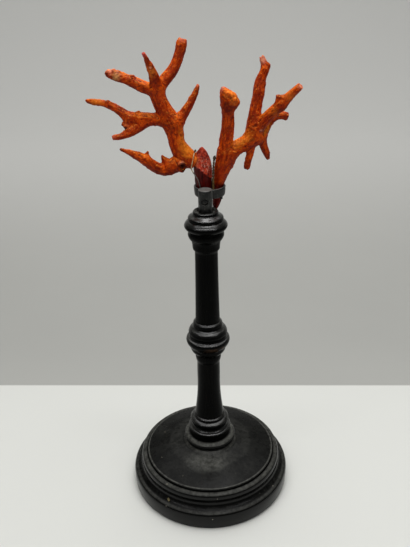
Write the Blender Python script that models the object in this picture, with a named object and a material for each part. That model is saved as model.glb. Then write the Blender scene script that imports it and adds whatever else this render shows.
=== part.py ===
"""A red coral branch mounted on a turned, ebonised wooden stand.

Two pieces of branching coral and a stump of dark core are gripped by a small
metal hoop, which a screw holds to a peg on top of the stand.  Each limb of the
coral is its own solid, split where the branch forks.
Millimetres in the tables below; the origin is the centre of the underside.
"""

import math

import bmesh
import bpy
from mathutils import Vector

MM = 0.001
GAP = 0.3            # clearance between neighbouring pieces
SIDES_TURNED = 24
PLINTH_RADIUS = 52.9
PLINTH_TOP = 11.2
BASE_TOP = 37.0
COLUMN_FOOT = BASE_TOP + GAP
FOOT_RING = 41.6
COLUMN_JOINT = 100.0  # top of the lower column, under the middle knop
COLLAR_TOP = 197.1
PEG_RADIUS = 4.15
PEG_TOP = 209.9
SCREW_X = -0.4
SCREW_HEIGHT = 203.3
SCREW_RADIUS = 0.8
HEAD_RADIUS = 1.6
SEAT_RADIUS = HEAD_RADIUS + GAP
BORE_RADIUS = SCREW_RADIUS + GAP
HOOP_CENTRE = (2.75, 13.6)
HOOP_BOTTOM = 202.0
HOOP_TOP = 207.8
HOOP_WALL = 1.1
HOOP_RADIUS_TOP = 9.4
HOOP_RADIUS_BOTTOM = 9.1
WIRE_RADIUS = 0.35

# Limbs of coral: x, y, height and radius along each centre line.  y grows
# away from the front of the stand.
CORE = [
    (-0.7, 13.6, 200.6, 3.0), (-0.7, 13.6, 203.5, 4.0), (-0.7, 13.6, 206.8, 4.4),
    (-1.0, 13.7, 211.5, 5.0), (-1.1, 13.8, 216.5, 5.4), (-1.3, 13.8, 221.0, 5.1),
    (-1.5, 13.8, 225.0, 3.8), (-1.5, 13.8, 228.0, 2.2), (-1.4, 13.8, 230.0, 0.7),
]
LEFT_STEM = [
    (-3.5, 13.2, 221.0, 4.4), (-7.5, 13.0, 223.2, 4.8), (-11.0, 12.8, 226.0, 5.3),
    (-14.0, 12.5, 230.0, 5.0), (-15.7, 12.5, 234.5, 4.7), (-16.4, 12.8, 238.8, 4.9),
    (-17.5, 13.0, 243.5, 5.2),
]
LEFT_STEM_STUB = [(-15.0, 10.5, 222.0, 3.8), (-12.3, 9.2, 220.0, 2.3)]
LEFT_LOW = [
    (-13.4, 12.4, 223.6, 3.3), (-17.0, 11.5, 221.3, 4.5), (-22.0, 10.0, 219.3, 3.7),
    (-26.5, 8.0, 220.3, 3.2), (-30.3, 6.5, 223.2, 3.1), (-33.5, 5.0, 226.2, 2.7),
    (-38.0, 4.0, 229.3, 2.1), (-42.5, 3.0, 231.6, 1.5), (-46.5, 2.5, 233.5, 0.7),
]
LEFT_LOW_SPUR = [(-21.0, 9.5, 222.0, 2.8), (-23.5, 9.5, 226.0, 0.6)]
LEFT_LOW_NIB = [(-32.0, 5.0, 226.5, 1.5), (-32.0, 5.0, 230.0, 0.5)]
CROWN_STEM = [
    (-17.7, 13.0, 245.0, 4.9), (-19.8, 13.0, 248.8, 4.8), (-22.5, 13.0, 253.5, 4.5),
    (-24.8, 13.0, 258.5, 4.3), (-25.8, 13.0, 263.0, 4.1),
]
LEFT_BOUGH = [
    (-18.0, 13.0, 245.6, 3.9), (-24.0, 13.3, 246.8, 3.7), (-31.0, 14.0, 247.3, 3.5),
    (-37.3, 14.6, 247.3, 3.6), (-42.0, 15.5, 248.2, 3.3), (-46.5, 16.5, 251.2, 2.6),
    (-51.5, 17.5, 253.8, 2.1), (-56.5, 19.0, 255.3, 1.9), (-62.0, 20.0, 256.2, 1.8),
    (-65.0, 20.5, 256.6, 1.3), (-66.2, 20.9, 256.9, 0.7),
]
LEFT_BOUGH_STUB = [(-41.5, 15.0, 247.0, 3.1), (-44.2, 13.5, 242.8, 1.7)]
LEFT_BOUGH_FORK = [
    (-32.0, 14.0, 246.0, 2.9), (-37.5, 12.8, 242.8, 2.7), (-42.5, 11.5, 240.2, 2.4),
    (-46.5, 10.0, 238.8, 1.9), (-49.6, 9.0, 238.4, 1.8), (-51.2, 8.8, 238.3, 1.5),
]
CROWN_LEFT = [
    (-25.5, 13.3, 262.6, 3.4), (-31.5, 14.5, 264.3, 3.2), (-37.0, 16.0, 266.6, 3.0),
    (-42.5, 17.0, 268.8, 2.8), (-47.5, 18.0, 270.2, 2.8), (-51.0, 19.0, 271.4, 2.4),
    (-52.8, 19.3, 272.1, 1.5),
]
CROWN_FRONT = [
    (-25.3, 11.8, 265.5, 3.4), (-26.3, 9.0, 271.0, 2.9), (-27.5, 5.5, 275.5, 2.4),
    (-28.8, 2.0, 279.8, 1.9), (-29.5, -0.8, 282.6, 1.3), (-30.2, -2.7, 284.6, 0.7),
]
CROWN_RIGHT = [
    (-25.3, 13.8, 263.5, 3.4), (-21.0, 15.0, 268.2, 3.3), (-17.0, 16.0, 272.8, 3.1),
    (-14.2, 17.0, 277.6, 2.9), (-12.2, 18.3, 283.0, 2.8), (-11.2, 19.1, 286.6, 2.8),
    (-10.8, 19.4, 288.0, 2.4),
]
INNER_TWIG = [
    (-16.5, 13.0, 243.0, 3.8), (-12.0, 13.5, 248.8, 3.4), (-8.0, 14.6, 254.4, 2.7),
    (-5.2, 16.0, 259.2, 2.2), (-3.3, 17.2, 263.0, 1.7), (-2.8, 17.5, 264.6, 0.9),
]
RIGHT_STEM = [
    (6.6, 13.4, 192.6, 0.9), (7.0, 13.5, 195.8, 1.9), (7.6, 13.6, 200.2, 2.4),
    (8.0, 13.6, 207.0, 2.4), (8.7, 13.6, 210.6, 3.3), (10.0, 13.5, 216.0, 4.3),
    (11.5, 13.4, 221.5, 5.4), (13.0, 13.0, 226.3, 5.7),
]
RIGHT_POST = [
    (12.3, 12.7, 226.5, 4.4), (12.5, 12.0, 233.0, 3.8), (13.1, 11.0, 239.5, 3.7),
    (13.5, 9.8, 246.0, 3.5), (13.6, 8.4, 251.5, 3.4), (13.6, 6.9, 256.0, 3.9),
    (12.6, 5.5, 260.3, 3.6), (11.3, 4.6, 263.3, 2.4), (10.6, 4.2, 265.0, 1.2),
]
RIGHT_POST_LOBE = [
    (13.6, 7.0, 255.6, 3.6), (16.2, 6.0, 257.0, 2.8), (17.6, 5.5, 257.4, 1.6),
]
RIGHT_BOUGH = [
    (13.5, 13.3, 226.8, 4.7), (19.5, 14.0, 230.3, 4.2), (24.0, 14.5, 232.6, 4.4),
    (28.0, 15.0, 235.6, 4.7),
]
RIGHT_UPRIGHT = [
    (27.3, 15.0, 235.0, 4.1), (27.7, 15.5, 240.5, 3.8), (28.9, 16.0, 247.5, 3.5),
    (29.9, 17.0, 254.0, 3.3), (30.9, 17.5, 260.0, 3.2), (32.0, 18.5, 266.4, 3.0),
    (33.6, 19.0, 270.6, 2.3), (34.2, 19.5, 273.6, 1.8), (33.7, 20.0, 276.8, 1.3),
    (33.3, 20.2, 278.8, 0.8),
]
RIGHT_UPRIGHT_NUB = [(34.2, 19.0, 272.3, 1.9), (36.3, 19.4, 274.4, 0.9)]
RIGHT_HIGH = [
    (29.0, 14.6, 238.6, 3.8), (34.0, 12.6, 245.3, 3.2), (38.0, 11.0, 249.8, 3.1),
    (42.0, 9.5, 254.0, 2.9), (46.0, 8.0, 258.4, 2.6), (49.6, 7.0, 262.2, 2.3),
    (52.2, 6.4, 264.8, 1.8),
]
RIGHT_HIGH_SPUR = [(42.5, 9.5, 255.0, 2.3), (41.9, 9.5, 259.0, 0.9)]
RIGHT_LOW = [
    (29.5, 16.2, 235.0, 4.3), (33.6, 18.4, 238.2, 3.6), (37.2, 20.5, 242.4, 2.8),
    (41.6, 22.0, 245.2, 2.3), (45.2, 23.0, 246.0, 2.1), (46.6, 23.4, 245.6, 1.5),
]
DROP_TWIG_FRONT = [
    (26.6, 14.5, 231.0, 2.7), (26.3, 13.5, 226.8, 2.3), (25.3, 12.5, 222.8, 2.0),
    (24.7, 12.0, 219.6, 1.9), (24.5, 11.9, 218.2, 1.5),
]
DROP_TWIG_BACK = [
    (33.2, 17.6, 235.4, 3.1), (34.4, 18.2, 229.5, 2.4), (36.1, 19.0, 225.0, 1.9),
    (37.4, 19.4, 221.6, 1.1),
]

# Bent wires that tie the coral: x, y, height.
LEFT_WIRE = [
    (-2.2, 18.5, 204.5), (-2.7, 19.0, 209.5), (-5.0, 19.2, 214.5),
    (-7.4, 19.3, 219.0), (-7.2, 19.2, 224.5), (-6.2, 16.4, 229.6),
    (-5.8, 12.0, 230.6), (-6.5, 8.0, 227.6), (-7.5, 6.9, 221.8),
    (-7.5, 7.4, 217.8), (-6.0, 8.0, 214.8), (-4.0, 8.0, 211.9), (-2.8, 8.4, 208.4),
    (-2.6, 8.6, 204.5),
]
RIGHT_WIRE = [
    (4.9, 16.2, 204.5), (4.7, 16.6, 210.0), (5.0, 17.6, 217.0), (5.6, 17.0, 224.0),
    (5.9, 14.0, 227.4), (5.7, 10.8, 226.0), (5.0, 9.2, 221.0), (4.7, 9.4, 214.0),
    (4.8, 9.8, 209.0), (4.9, 10.4, 204.5),
]


def clear_scene():
    for obj in list(bpy.data.objects):
        bpy.data.objects.remove(obj, do_unlink=True)


def material(name, colour, roughness, metallic=0.0):
    mat = bpy.data.materials.new(name)
    mat.use_nodes = True
    shader = mat.node_tree.nodes["Principled BSDF"]
    shader.inputs["Base Color"].default_value = (*colour, 1.0)
    shader.inputs["Roughness"].default_value = roughness
    shader.inputs["Metallic"].default_value = metallic
    mat.diffuse_color = (*colour, 1.0)
    return mat


def add_object(name, bm, mat=None, smooth_angle=40.0):
    mesh = bpy.data.meshes.new(name)
    bm.to_mesh(mesh)
    bm.free()
    obj = bpy.data.objects.new(name, mesh)
    bpy.context.collection.objects.link(obj)
    if mat is not None:
        mesh.materials.append(mat)
    mesh.shade_smooth()
    mesh.set_sharp_from_angle(angle=math.radians(smooth_angle))
    return obj


def arc(start, end, bulge, steps=4):
    """Points from start to end along a curve that bulges to the right of the way (out, going up)."""
    (r0, z0), (r1, z1) = start, end
    points = []
    for step in range(steps + 1):
        t = step / steps
        out = bulge * math.sin(math.pi * t)
        length = math.hypot(r1 - r0, z1 - z0)
        points.append((r0 + (r1 - r0) * t + out * (z1 - z0) / length,
                       z0 + (z1 - z0) * t - out * (r1 - r0) / length))
    return points


def base_outline():
    """Plinth, cove, half-round and domed top, with a torus that carries the column."""
    outline = [(0, 0), (PLINTH_RADIUS - 1.2, 0), (PLINTH_RADIUS - 0.4, 0.8)]
    outline += arc((PLINTH_RADIUS, PLINTH_TOP - 1.2), (PLINTH_RADIUS - 1.5, PLINTH_TOP + 0.4), 0.25, 2)
    outline += arc((48.2, 12.5), (46.9, 18.4), -1.1, 3)
    outline += arc((47.1, 18.7), (44.2, 22.3), 1.1, 3)
    outline += [(43.4, 21.9), (43.4, 23.2)]
    outline += arc((42.8, 24.0), (20.6, 29.4), 0.3, 3)
    outline += arc((18.8, 30.4), (16.3, 31.6), -0.3, 2)
    outline += arc((16.2, 31.9), (14.6, BASE_TOP), 1.9, 4)
    return outline + [(0, BASE_TOP)]


def lower_column_outline():
    """Drum, ring, cove, bead and ring at the foot, then the tapering lower shaft."""
    outline = [(0, COLUMN_FOOT), (13.6, COLUMN_FOOT), (13.7, FOOT_RING - 0.4)]
    outline += arc((14.1, FOOT_RING), (13.5, FOOT_RING + 1.4), 0.4, 2)
    outline += arc((12.9, 43.3), (12.0, 46.3), -0.7, 2)
    outline += arc((12.2, 46.7), (10.6, 50.2), 1.0, 3)
    outline += arc((10.1, 50.4), (9.6, 52.3), 0.5, 2)
    outline += [(9.4, 52.8), (9.5, 53.6), (9.0, 56.5), (8.5, 61.0), (8.0, 69.0), (7.4, 86.0), (7.3, 93.6)]
    outline += arc((7.8, 95.8), (8.1, COLUMN_JOINT), 0.5, 2)
    return outline + [(0, COLUMN_JOINT)]


def upper_column_outline():
    """Middle knop, lip and tapering shaft, then the top knop and its collar."""
    outline = [(0, COLUMN_JOINT + GAP), (8.1, COLUMN_JOINT + GAP), (9.4, 101.8)]
    outline += arc((10.6, 103.5), (11.3, 106.1), 0.4, 2)
    outline += arc((11.6, 106.4), (11.8, 115.4), 2.2, 4)
    outline += arc((11.4, 115.9), (11.0, 119.0), 0.7, 2)
    outline += [(9.8, 119.8), (9.0, 120.8), (9.0, 122.9), (8.5, 123.8), (7.8, 124.3)]
    outline += [(7.6, 130.0), (7.3, 143.0), (7.0, 156.0), (6.9, 171.8), (8.1, 173.6)]
    outline += [(8.5, 176.4), (8.9, 179.2)]
    outline += arc((9.9, 180.8), (10.8, 184.9), 0.5, 3)
    outline += arc((10.9, 185.2), (10.6, 191.5), 2.0, 4)
    outline += arc((9.9, 191.8), (8.6, 194.8), 0.7, 2)
    outline += [(7.5, 195.4), (7.3, 195.9), (7.5, 196.5), (7.0, COLLAR_TOP)]
    return outline + [(0, COLLAR_TOP)]


def turned(name, outline, mat, sides=SIDES_TURNED, centre=(0.0, 0.0)):
    """A solid of revolution about the upright axis through centre."""
    bm = bmesh.new()
    points = [bm.verts.new((r * MM, 0, z * MM)) for r, z in outline]
    edges = [bm.edges.new(pair) for pair in zip(points[:-1], points[1:])]
    if outline[0][0] > 0:
        edges.append(bm.edges.new((points[-1], points[0])))
    bmesh.ops.spin(bm, geom=points + edges, cent=(0, 0, 0), axis=(0, 0, 1), dvec=(0, 0, 0),
                   angle=math.tau, steps=sides, use_merge=True)
    bmesh.ops.remove_doubles(bm, verts=bm.verts, dist=0.00001)
    bmesh.ops.dissolve_degenerate(bm, edges=bm.edges, dist=0.00001)
    bmesh.ops.recalc_face_normals(bm, faces=bm.faces)
    bmesh.ops.translate(bm, verts=bm.verts, vec=(centre[0] * MM, centre[1] * MM, 0))
    return add_object(name, bm, mat)


def cylinder(name, radius, length, middle, mat=None, sides=20):
    """A cylinder lying along y."""
    bm = bmesh.new()
    bmesh.ops.create_cone(bm, cap_ends=True, segments=sides, radius1=radius * MM,
                          radius2=radius * MM, depth=length * MM)
    bmesh.ops.rotate(bm, verts=bm.verts, cent=(0, 0, 0),
                     matrix=Vector((0, 0, 1)).rotation_difference(Vector((0, 1, 0))).to_matrix())
    bmesh.ops.translate(bm, verts=bm.verts, vec=[c * MM for c in middle])
    return add_object(name, bm, mat)


def rounded_tip(points):
    """The points of a centre line with its last end rounded over."""
    before, last = [Vector(p[:3]) for p in points[-2:]]
    way = (last - before).normalized()
    radius = points[-1][3]
    done = list(points)
    for angle in (40, 75):
        turn = math.radians(angle)
        place = last + way * radius * math.sin(turn)
        done.append((*place, radius * math.cos(turn)))
    return done


def grown(points, by=GAP):
    """The same centre line made thicker, and longer at its start, by the clearance."""
    first, second = [Vector(p[:3]) for p in points[:2]]
    start = first + (first - second).normalized() * by
    lines = [(*start, points[0][3])] + points[1:]
    return [(x, y, z, radius + by) for x, y, z, radius in lines]


def tube(name, points, mat=None, resolution=1, bevel=2):
    """A smooth tube through the points, converted to a closed mesh."""
    curve = bpy.data.curves.new(name, "CURVE")
    curve.dimensions = "3D"
    curve.bevel_depth = MM
    curve.bevel_resolution = bevel
    curve.use_fill_caps = True
    spline = curve.splines.new("BEZIER")
    spline.resolution_u = resolution
    spline.bezier_points.add(len(points) - 1)
    for knot, (x, y, z, radius) in zip(spline.bezier_points, points):
        knot.co = (x * MM, y * MM, z * MM)
        knot.radius = radius
        knot.handle_left_type = "AUTO"
        knot.handle_right_type = "AUTO"
    carrier = bpy.data.objects.new(name + "_curve", curve)
    bpy.context.collection.objects.link(carrier)
    bpy.context.view_layer.update()
    graph = bpy.context.evaluated_depsgraph_get()
    mesh = bpy.data.meshes.new_from_object(carrier.evaluated_get(graph))
    bpy.data.objects.remove(carrier)
    bm = bmesh.new()
    bm.from_mesh(mesh)
    bpy.data.meshes.remove(mesh)
    bmesh.ops.remove_doubles(bm, verts=bm.verts, dist=0.000005)
    bmesh.ops.recalc_face_normals(bm, faces=bm.faces)
    return add_object(name, bm, mat, 60.0)


def helper(obj):
    obj.hide_render = True
    obj.display_type = "WIRE"
    return obj


def combine(obj, other, operation):
    mod = obj.modifiers.new(operation.title() + "_" + other.name, "BOOLEAN")
    mod.operation = operation
    mod.object = other
    mod.solver = "EXACT"
    return mod


def limb(name, points, mat, against=(), spurs=()):
    """One limb, with its spurs joined on and its foot cut to fit the limbs it grows from."""
    obj = tube(name, rounded_tip(points), mat=mat)
    body = [points]
    for number, spur in enumerate(spurs):
        extra = helper(tube(f"{name}_spur_{number}", rounded_tip(spur), mat=mat))
        combine(obj, extra, "UNION")
        body.append(spur)
    for other in against:
        for number, line in enumerate(LIMBS[other]):
            cutter = helper(tube(f"{name}_foot_{other}_{number}", rounded_tip(grown(line))))
            combine(obj, cutter, "DIFFERENCE")
    LIMBS[name] = body
    return obj


clear_scene()
LIMBS = {}

bark = material("coral_bark", (0.62, 0.12, 0.025), 0.6)
core = material("coral_core", (0.20, 0.015, 0.012), 0.4)
ebonised = material("ebonised_wood", (0.018, 0.017, 0.016), 0.42)
iron = material("blackened_metal", (0.03, 0.03, 0.032), 0.45, 0.8)
brass = material("tie_wire", (0.55, 0.36, 0.16), 0.4, 1.0)

# The turned stand.
turned("stand_base", base_outline(), ebonised, sides=36)
turned("stand_lower_column", lower_column_outline(), ebonised)
turned("stand_upper_column", upper_column_outline(), ebonised)

# The peg, bored and counterbored for the screw.
peg = turned("clasp_peg", [
    (0, COLLAR_TOP + GAP), (PEG_RADIUS, COLLAR_TOP + GAP), (PEG_RADIUS, PEG_TOP - 0.4),
    (PEG_RADIUS - 0.4, PEG_TOP), (0, PEG_TOP),
], iron)
bore = helper(cylinder("bore", BORE_RADIUS, 12.0, (SCREW_X, 0, SCREW_HEIGHT), sides=16))
seat = helper(cylinder("seat", SEAT_RADIUS, 4.0, (SCREW_X, -4.4, SCREW_HEIGHT)))
combine(peg, bore, "DIFFERENCE")
combine(peg, seat, "DIFFERENCE")

# The hoop behind the peg, with a hole for the same screw.
hoop = turned("clasp_hoop", [
    (HOOP_RADIUS_BOTTOM - HOOP_WALL, HOOP_BOTTOM), (HOOP_RADIUS_BOTTOM, HOOP_BOTTOM),
    (HOOP_RADIUS_TOP, HOOP_TOP), (HOOP_RADIUS_TOP - HOOP_WALL, HOOP_TOP),
], iron, sides=32, centre=HOOP_CENTRE)
hole = helper(cylinder("hole", BORE_RADIUS, 6.0, (SCREW_X, 5.6, SCREW_HEIGHT), sides=16))
combine(hoop, hole, "DIFFERENCE")

screw = cylinder("clasp_screw", SCREW_RADIUS, 10.2, (SCREW_X, 1.9, SCREW_HEIGHT), iron, sides=16)
head = helper(cylinder("head", HEAD_RADIUS, 1.1, (SCREW_X, -3.25, SCREW_HEIGHT)))
combine(screw, head, "UNION")
slot_cut = bmesh.new()
bmesh.ops.create_cube(slot_cut, size=MM)
bmesh.ops.scale(slot_cut, verts=slot_cut.verts, vec=(4.0, 0.8, 0.45))
bmesh.ops.translate(slot_cut, verts=slot_cut.verts,
                    vec=[c * MM for c in (SCREW_X, -3.8, SCREW_HEIGHT)])
combine(screw, helper(add_object("driver_slot", slot_cut)), "DIFFERENCE")

# The dark core stump, and the left piece of coral from its root outwards.
limb("coral_core_stump", CORE, core)
limb("coral_left_stem", LEFT_STEM, bark, ["coral_core_stump"], [LEFT_STEM_STUB])
limb("coral_left_low_limb", LEFT_LOW, bark, ["coral_left_stem"],
     [LEFT_LOW_SPUR, LEFT_LOW_NIB])
limb("coral_crown_stem", CROWN_STEM, bark, ["coral_left_stem"])
limb("coral_left_bough", LEFT_BOUGH, bark, ["coral_left_stem", "coral_crown_stem"],
     [LEFT_BOUGH_STUB])
limb("coral_left_bough_fork", LEFT_BOUGH_FORK, bark, ["coral_left_bough"])
limb("coral_inner_twig", INNER_TWIG, bark,
     ["coral_left_stem", "coral_crown_stem", "coral_left_bough"])
limb("coral_crown_left_limb", CROWN_LEFT, bark, ["coral_crown_stem"])
limb("coral_crown_right_limb", CROWN_RIGHT, bark,
     ["coral_crown_stem", "coral_crown_left_limb"])
limb("coral_crown_front_twig", CROWN_FRONT, bark,
     ["coral_crown_stem", "coral_crown_left_limb", "coral_crown_right_limb"])

# The right piece of coral, whose bare root passes down through the hoop.
limb("coral_right_stem", RIGHT_STEM, bark)
limb("coral_right_post", RIGHT_POST, bark, ["coral_right_stem"], [RIGHT_POST_LOBE])
limb("coral_right_bough", RIGHT_BOUGH, bark, ["coral_right_stem", "coral_right_post"])
limb("coral_right_upright", RIGHT_UPRIGHT, bark, ["coral_right_bough"],
     [RIGHT_UPRIGHT_NUB])
limb("coral_right_high_limb", RIGHT_HIGH, bark,
     ["coral_right_bough", "coral_right_upright"], [RIGHT_HIGH_SPUR])
limb("coral_right_low_limb", RIGHT_LOW, bark,
     ["coral_right_bough", "coral_right_upright", "coral_right_high_limb"])
limb("coral_drop_twig_front", DROP_TWIG_FRONT, bark,
     ["coral_right_bough", "coral_right_upright"])
limb("coral_drop_twig_back", DROP_TWIG_BACK, bark,
     ["coral_right_bough", "coral_right_low_limb", "coral_right_high_limb"])

# The wires that tie both pieces to the stump and run down into the hoop.
for wire, line in (("tie_wire_left", LEFT_WIRE), ("tie_wire_right", RIGHT_WIRE)):
    tube(wire, [(*p, WIRE_RADIUS) for p in line], mat=brass, resolution=2, bevel=1)
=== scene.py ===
"""The looks of a red coral branch on a turned, ebonised stand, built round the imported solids.

Sizes and places of the object are millimetres in the part's frame: the origin is the centre of
the underside, x runs to the right, y runs away from the front and z runs up. The camera, the
lights and the table are in metres.
"""

import math
import random

import bpy
import numpy as np
from mathutils import Matrix, Vector, kdtree, noise


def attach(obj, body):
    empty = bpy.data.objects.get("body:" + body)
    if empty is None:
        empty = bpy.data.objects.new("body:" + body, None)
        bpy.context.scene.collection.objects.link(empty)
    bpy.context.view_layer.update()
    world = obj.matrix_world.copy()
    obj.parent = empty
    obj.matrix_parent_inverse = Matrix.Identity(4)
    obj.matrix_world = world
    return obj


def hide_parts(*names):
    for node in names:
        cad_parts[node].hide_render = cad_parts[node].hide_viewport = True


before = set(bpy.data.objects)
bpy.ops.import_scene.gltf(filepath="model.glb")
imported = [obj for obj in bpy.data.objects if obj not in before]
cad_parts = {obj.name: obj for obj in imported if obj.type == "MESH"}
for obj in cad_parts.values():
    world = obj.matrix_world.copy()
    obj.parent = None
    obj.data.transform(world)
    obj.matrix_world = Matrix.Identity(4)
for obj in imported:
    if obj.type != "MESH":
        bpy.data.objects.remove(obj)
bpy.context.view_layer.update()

MM = 0.001


# ---------------------------------------------------------------- small helpers


def deselect():
    """Leaves edit mode and selects nothing."""
    if bpy.context.mode != "OBJECT":
        bpy.ops.object.mode_set(mode="OBJECT")
    bpy.ops.object.select_all(action="DESELECT")


def pick(*objs):
    """Selects these objects, the last of them active."""
    deselect()
    for obj in objs:
        obj.select_set(True)
    bpy.context.view_layer.objects.active = objs[-1]


def settle(obj):
    """Puts the object's place into its mesh."""
    pick(obj)
    bpy.ops.object.transform_apply(location=True, rotation=True, scale=True)


def modify(obj, kind, **settings):
    """Adds a modifier with these settings and applies it."""
    pick(obj)
    bpy.ops.object.modifier_add(type=kind)
    mod = obj.modifiers[-1]
    for key, value in settings.items():
        setattr(mod, key, value)
    bpy.ops.object.modifier_apply(modifier=mod.name)


def cut(obj, cutter, operation="DIFFERENCE"):
    """Cuts the piece with the cutter, or joins them, and throws the cutter away."""
    modify(obj, "BOOLEAN", operation=operation, object=cutter, solver="EXACT")
    bpy.data.objects.remove(cutter, do_unlink=True)


def soften(obj, degrees):
    """Shades smooth across edges flatter than this."""
    pick(obj)
    bpy.ops.object.shade_smooth_by_angle(angle=math.radians(degrees))


def block(size, place, turned):
    """A box of this size at this place, turned about x, y and z by these degrees."""
    deselect()
    bpy.ops.mesh.primitive_cube_add(size=1, location=[value * MM for value in place])
    obj = bpy.context.object
    obj.scale = [value * MM for value in size]
    obj.rotation_euler = [math.radians(value) for value in turned]
    settle(obj)
    return obj


def tube(places, radii, resolution):
    """A round tube of these radii along these places, as a mesh."""
    deselect()
    curve = bpy.data.curves.new("tube", "CURVE")
    curve.dimensions = "3D"
    curve.bevel_depth = MM
    curve.bevel_resolution = resolution
    curve.use_fill_caps = True
    spline = curve.splines.new("POLY")
    spline.points.add(len(places) - 1)
    for knot, place, radius in zip(spline.points, places, radii):
        knot.co = (*(np.array(place) * MM), 1)
        knot.radius = radius
    obj = bpy.data.objects.new("tube", curve)
    bpy.context.scene.collection.objects.link(obj)
    pick(obj)
    bpy.ops.object.convert(target="MESH")
    return bpy.context.object


def joined(*pieces):
    """Several meshes made one."""
    pick(*pieces)
    bpy.ops.object.join()
    return bpy.context.object


def finish_piece(obj, name, mat, nodes):
    """Names a finished piece, gives it its material, hangs it on the root body, and hides the CAD
    nodes it stands for.
    """
    obj.name = name
    obj.data.name = name
    obj.data.materials.clear()
    obj.data.materials.append(mat)
    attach(obj, "root")
    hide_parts(*nodes)
    return obj


# ---------------------------------------------------------------- turned wood

PLINTH = 52.9
COLUMN_FOOT = 37.3
COLUMN_JOINT = 100.0
COLLAR_TOP = 197.1

# The chip in the plinth: its middle, its width, depth and height, how far its middle stands
# outside the wood, and how ragged it is.
CHIP = (-27.9, -39.7, 12.8)
CHIP_SIZE = (1.9, 1.1, 1.1)
CHIP_OUT = 0.55
CHIP_RAGGED = 0.35


def arc(start, end, bulge, steps=8):
    """Points from start to end along a curve that bulges outwards (or inwards, below zero)."""
    (r0, z0), (r1, z1) = start, end
    length = math.hypot(r1 - r0, z1 - z0)
    points = []
    for step in range(steps + 1):
        t = step / steps
        out = bulge * math.sin(math.pi * t)
        points.append((r0 + (r1 - r0) * t + out * (z1 - z0) / length,
                       z0 + (z1 - z0) * t - out * (r1 - r0) / length))
    return points


def turn(outline, sides=144, centre=(0.0, 0.0), ring=False):
    """Turns an outline of (radius, height) round an upright axis, rising loop by loop."""
    deselect()
    radius, height = outline[0]
    x, y = centre[0] * MM, centre[1] * MM
    bpy.ops.mesh.primitive_circle_add(
        vertices=sides, radius=radius * MM, fill_type="NOTHING" if ring else "NGON",
        location=(x, y, height * MM))
    obj = bpy.context.object
    settle(obj)
    bpy.ops.object.mode_set(mode="EDIT")
    bpy.ops.mesh.select_all(action="SELECT")
    for next_radius, next_height in outline[1:]:
        lift = (0, 0, (next_height - height) * MM)
        if ring:
            bpy.ops.mesh.extrude_edges_move(TRANSFORM_OT_translate={"value": lift})
        else:
            bpy.ops.mesh.extrude_region_move(TRANSFORM_OT_translate={"value": lift})
        factor = next_radius / radius
        bpy.ops.transform.resize(value=(factor, factor, 1),
                                 center_override=(x, y, next_height * MM))
        radius, height = next_radius, next_height
    bpy.ops.mesh.select_all(action="SELECT")
    if ring:
        bpy.ops.mesh.remove_doubles(threshold=0.000002)
    bpy.ops.mesh.normals_make_consistent(inside=False)
    bpy.ops.object.mode_set(mode="OBJECT")
    return obj


def base_outline():
    """Plinth, cove, half-round, groove, dome and foot torus, from the floor up."""
    outline = [(50.9, 0), (51.9, 0.15), (52.5, 0.7), (52.75, 1.6), (PLINTH, 5.0)]
    outline += arc((PLINTH, 9.6), (50.2, 11.9), 0.75, 8)
    outline += arc((49.6, 12.1), (46.9, 18.2), -1.35, 9)
    outline += [(46.75, 18.5), (46.95, 18.75)]
    outline += arc((47.2, 18.9), (44.1, 22.4), 1.25, 9)
    outline += [(43.6, 22.25), (43.35, 21.6), (43.2, 21.7), (43.15, 22.9)]
    outline += arc((43.1, 23.3), (42.3, 23.95), 0.18, 3)
    outline += arc((41.5, 24.2), (20.6, 29.4), 0.35, 10)
    outline += arc((19.6, 29.8), (16.5, 31.3), -0.3, 5)
    outline += [(16.2, 31.5), (16.15, 31.75)]
    outline += arc((16.3, 32.0), (14.5, 36.9), 1.85, 10)
    return outline + [(13.9, 37.0)]


def make_base():
    """The turned base, with a small chip knocked out of its plinth."""
    base = turn(base_outline(), sides=192)
    deselect()
    bpy.ops.mesh.primitive_ico_sphere_add(subdivisions=3, radius=1.0 * MM)
    chip = bpy.context.object
    for vertex in chip.data.vertices:
        vertex.co *= 1 + CHIP_RAGGED * noise.noise(vertex.co / MM * 1.3)
    outward = Vector((CHIP[0], CHIP[1], 0)).normalized()
    chip.location = (Vector(CHIP) + CHIP_OUT * outward) * MM
    chip.scale = CHIP_SIZE
    chip.rotation_euler = (0, 0, math.atan2(outward.x, -outward.y))
    settle(chip)
    cut(base, chip)
    return base


def lower_column_outline():
    """The foot's rings and the lower shaft."""
    outline = [(13.2, COLUMN_FOOT), (13.6, 37.6), (13.65, 41.0)]
    outline += arc((13.75, 41.2), (13.6, 42.9), 0.45, 6)
    outline += [(13.1, 43.1), (12.95, 43.4)]
    outline += arc((12.8, 43.7), (12.05, 46.2), -0.65, 6)
    outline += [(12.1, 46.5)]
    outline += arc((12.35, 46.7), (10.9, 50.1), 1.05, 8)
    outline += [(10.45, 50.25), (10.3, 50.45)]
    outline += arc((10.35, 50.6), (9.75, 52.4), 0.5, 6)
    outline += [(9.45, 52.6), (9.4, 53.1)]
    outline += arc((9.5, 53.3), (7.4, 86.0), -0.75, 12)
    outline += [(7.3, 93.6)]
    outline += arc((7.35, 94.2), (8.1, COLUMN_JOINT), 0.4, 8)
    return outline


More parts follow.
